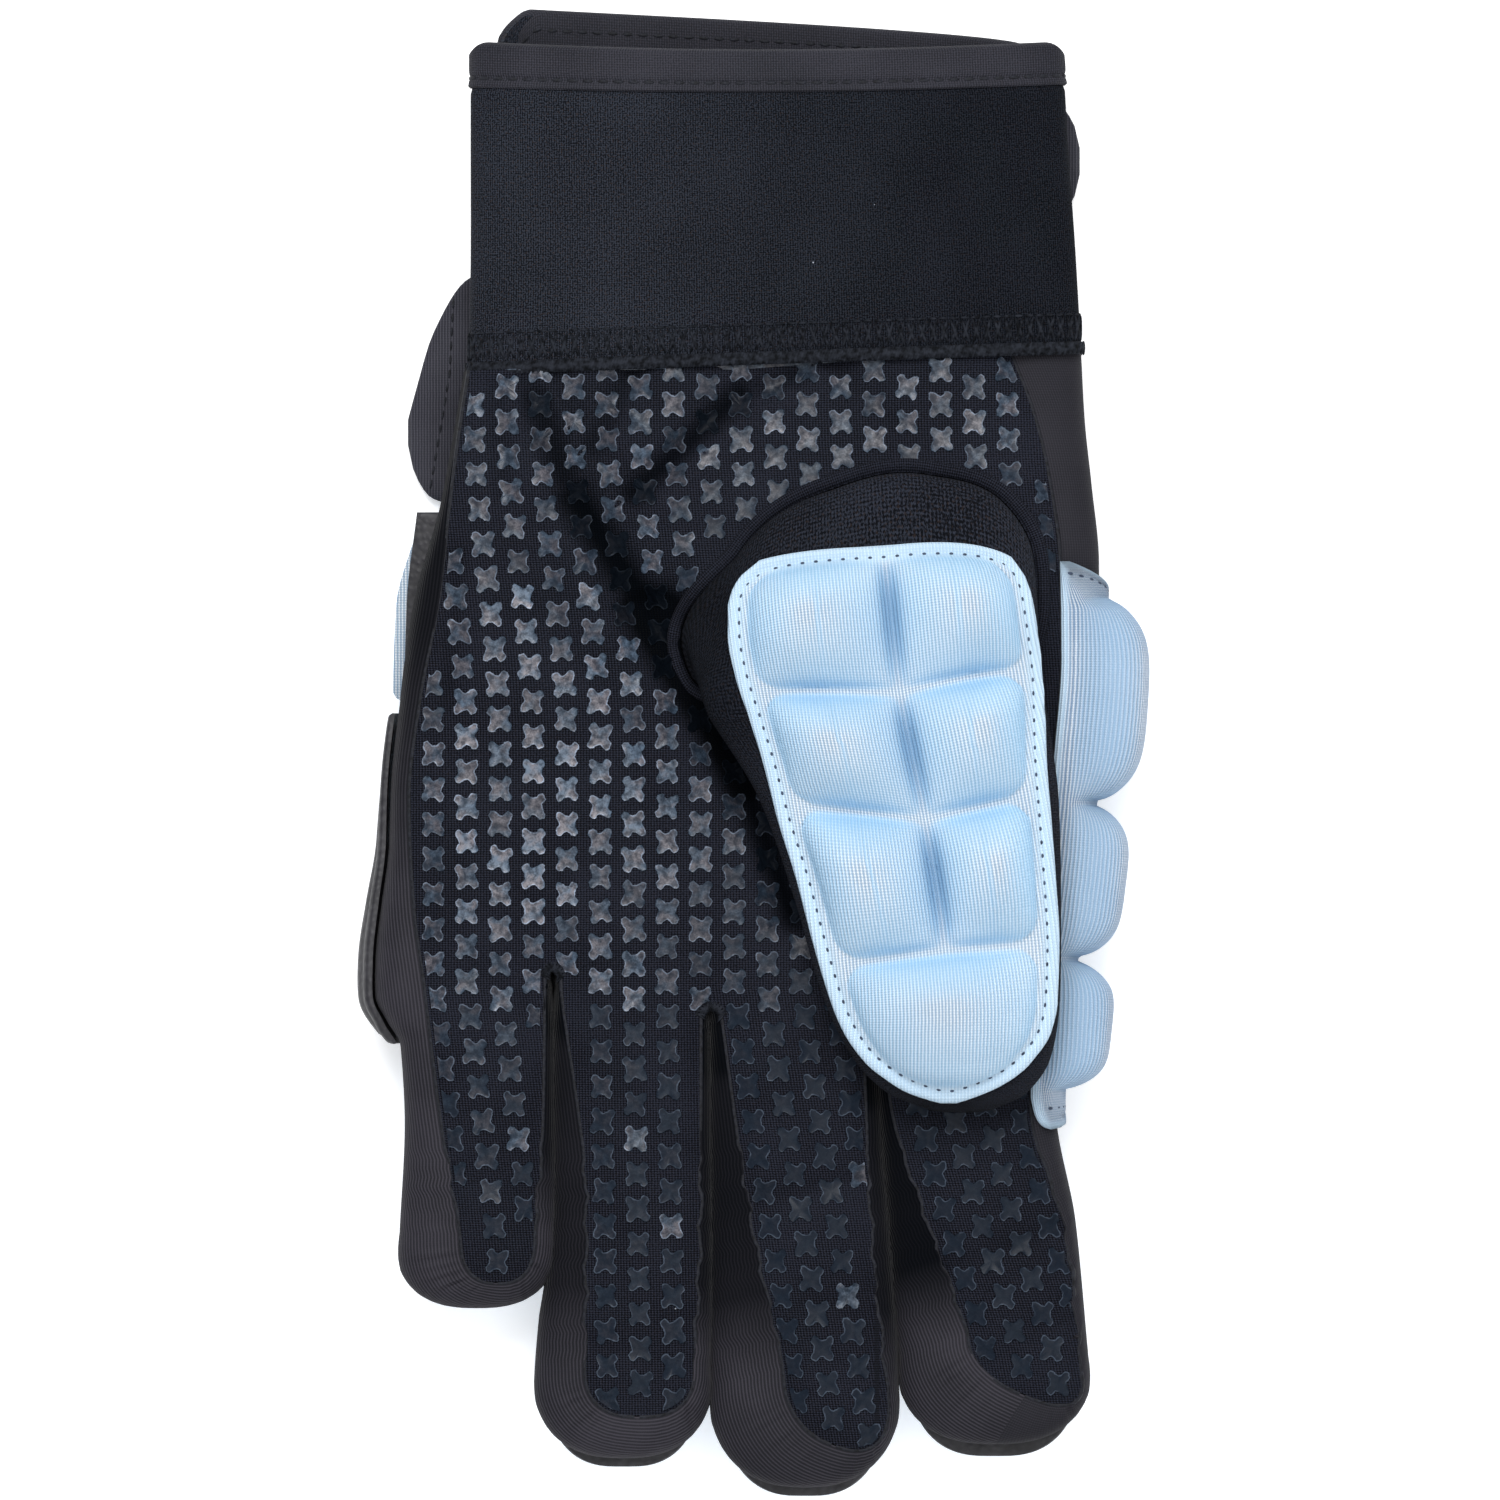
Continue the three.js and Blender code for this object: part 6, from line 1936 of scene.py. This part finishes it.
# %% The overlocked roll
def round_cuff(height, offset):
    """A line round the cuff at a height, with the directions away from the cloth."""
    turn = np.linspace(0, 360, 721)
    up = (height - CUFF_ROOT) / cuff_length + 0 * turn
    seat = cuff_places(turn, up, offset)
    return seat, unit(cuff_places(turn, up, offset + 1) - seat)


roll_seat, roll_up = round_cuff(CUFF_ROOT - 0.6, -0.2)
roll_up = np.concatenate([roll_up[:-1:2], roll_up[:1]])
roll = rope("roll_core", roll_seat[:-1:2], width=2.2, height=1.3, closed=True, out=roll_up)
twist_seat, twist_up = round_cuff(CUFF_ROOT - 0.6, 0.25)
twists = stitches("roll_twists", twist_seat, twist_up, pitch=0.95, size=(2.6, 0.75, 0.5), turn=68)
legs = []
for lean in (72, 108):
    leg_seat, leg_up = round_cuff(CUFF_ROOT + 2.9, -0.15)
    legs.append(stitches("seam_legs", leg_seat, leg_up, pitch=1.85, size=(4.8, 0.6, 0.6), turn=lean))
line_seat, line_up = round_cuff(CUFF_ROOT + 5.3, -0.15)
top_line = stitches("seam_line", line_seat, line_up, pitch=1.85, size=(1.5, 0.5, 0.4))
wrist_seam = join("wrist_seam_stitches", [roll, twists, *legs, top_line])
dress(wrist_seam, seam_thread, "cuff_neoprene")

# %% [markdown]
# The corners between the fingers
# The strips between the fingers turn a tight corner where two fingers meet, so the sewer runs back and
# forth over that spot. It leaves a small dark tangle of thread at the root of each finger, fanned out round
# the corner.

# %% The tangle at each corner
tacks = []
for crotch in CROTCHES:
    corner = crotch_path(crotch, 25)[:, 1]
    corner = corner.mean(0) + (corner - corner.mean(0)) * (1.3, 1.5)
    corner = np.column_stack([corner, palm_height(corner[:, 0], corner[:, 1]) + 0.1])
    upwards = np.tile([0.0, 0, 1], (len(corner), 1))
    for lean, length in ((70, 3.4), (100, 2.6), (125, 4.0)):
        tacks.append(stitches(
            "corner_tack", corner, upwards, pitch=0.62, size=(length, 0.34, 0.3), turn=lean))
corner_tacks = join("corner_tacks", tacks)
dress(corner_tacks, seam_thread, "grip_fabric")

# %% [markdown]
# The wrist strap
# A tapered strap of ribbed elastic passes under the wrist and folds up round the little side, where its end
# can be seen beside the palm. It lies on the table under the cuff.

# %% The strap
STRAP_ROWS = {
    "x": [-59.0, -57.8, -54.7, -48.8, -20, 20, 45, 52.6, 55.2, 56.2],
    "top": [57, 61.4, 71.7, 81, 92, 103, 109.4, 110.8, 107.6, 103.6],
    "bottom": [52.6, 47.6, 43.4, 42, 52, 72, 87, 91.4, 95, 99],
    "height": [1.6, 2.8, 3.2, 3.2, 3.2, 3.2, 3.2, 3.2, 2.8, 1.8],
}
STRAP_SQUARE = (14, 5)
STRAP_LIFT = 0.02
STRAP_STITCH = 2.6
strap_x = np.linspace(STRAP_ROWS["x"][0], STRAP_ROWS["x"][-1], 130)[:, None]
top, bottom, high = (along(STRAP_ROWS, key, strap_x) for key in ("top", "bottom", "height"))
turn = np.linspace(0, 360, 61)[None]
round_across = power(cosine(turn), STRAP_SQUARE[0])
round_up = power(sine(turn), STRAP_SQUARE[1])
strap_y = (top + bottom) / 2 + (top - bottom) / 2 * round_across
strap_z = high / 2 + (high / 2 - STRAP_LIFT) * round_up
strap = lay_sheet("wrist_strap_cloth", np.stack([strap_x + 0 * strap_y, strap_y, strap_z], -1),
                  (strap_x + 0 * strap_y, strap_y), closed=True)
fill_ends(strap)
face_outwards(strap)
smooth(strap)
dress(strap, strap_cloth, "strap", "wrist_strap")

# %% The stitches of the strap
line_y = np.linspace(78, 44, 40)
glove_end = LITTLE_EDGE["y"][0]
line_x = edge_at("little", "left", np.minimum(line_y, glove_end))[0] - STRAP_STITCH
line_x = np.where(line_y > glove_end, line_x + (line_y - glove_end) * 0.05, line_x)
seat = np.stack([line_x, line_y, 3.25 + 0 * line_y], -1)
strap_stitches = stitches(
    "strap_stitches", seat, 0 * seat + [0, 0, 1.0], pitch=2.4, size=(1.7, 0.45, 0.35))
dress(strap_stitches, thread, "strap")

# %% The size of the model, for the record
print("pieces:", len(finished))
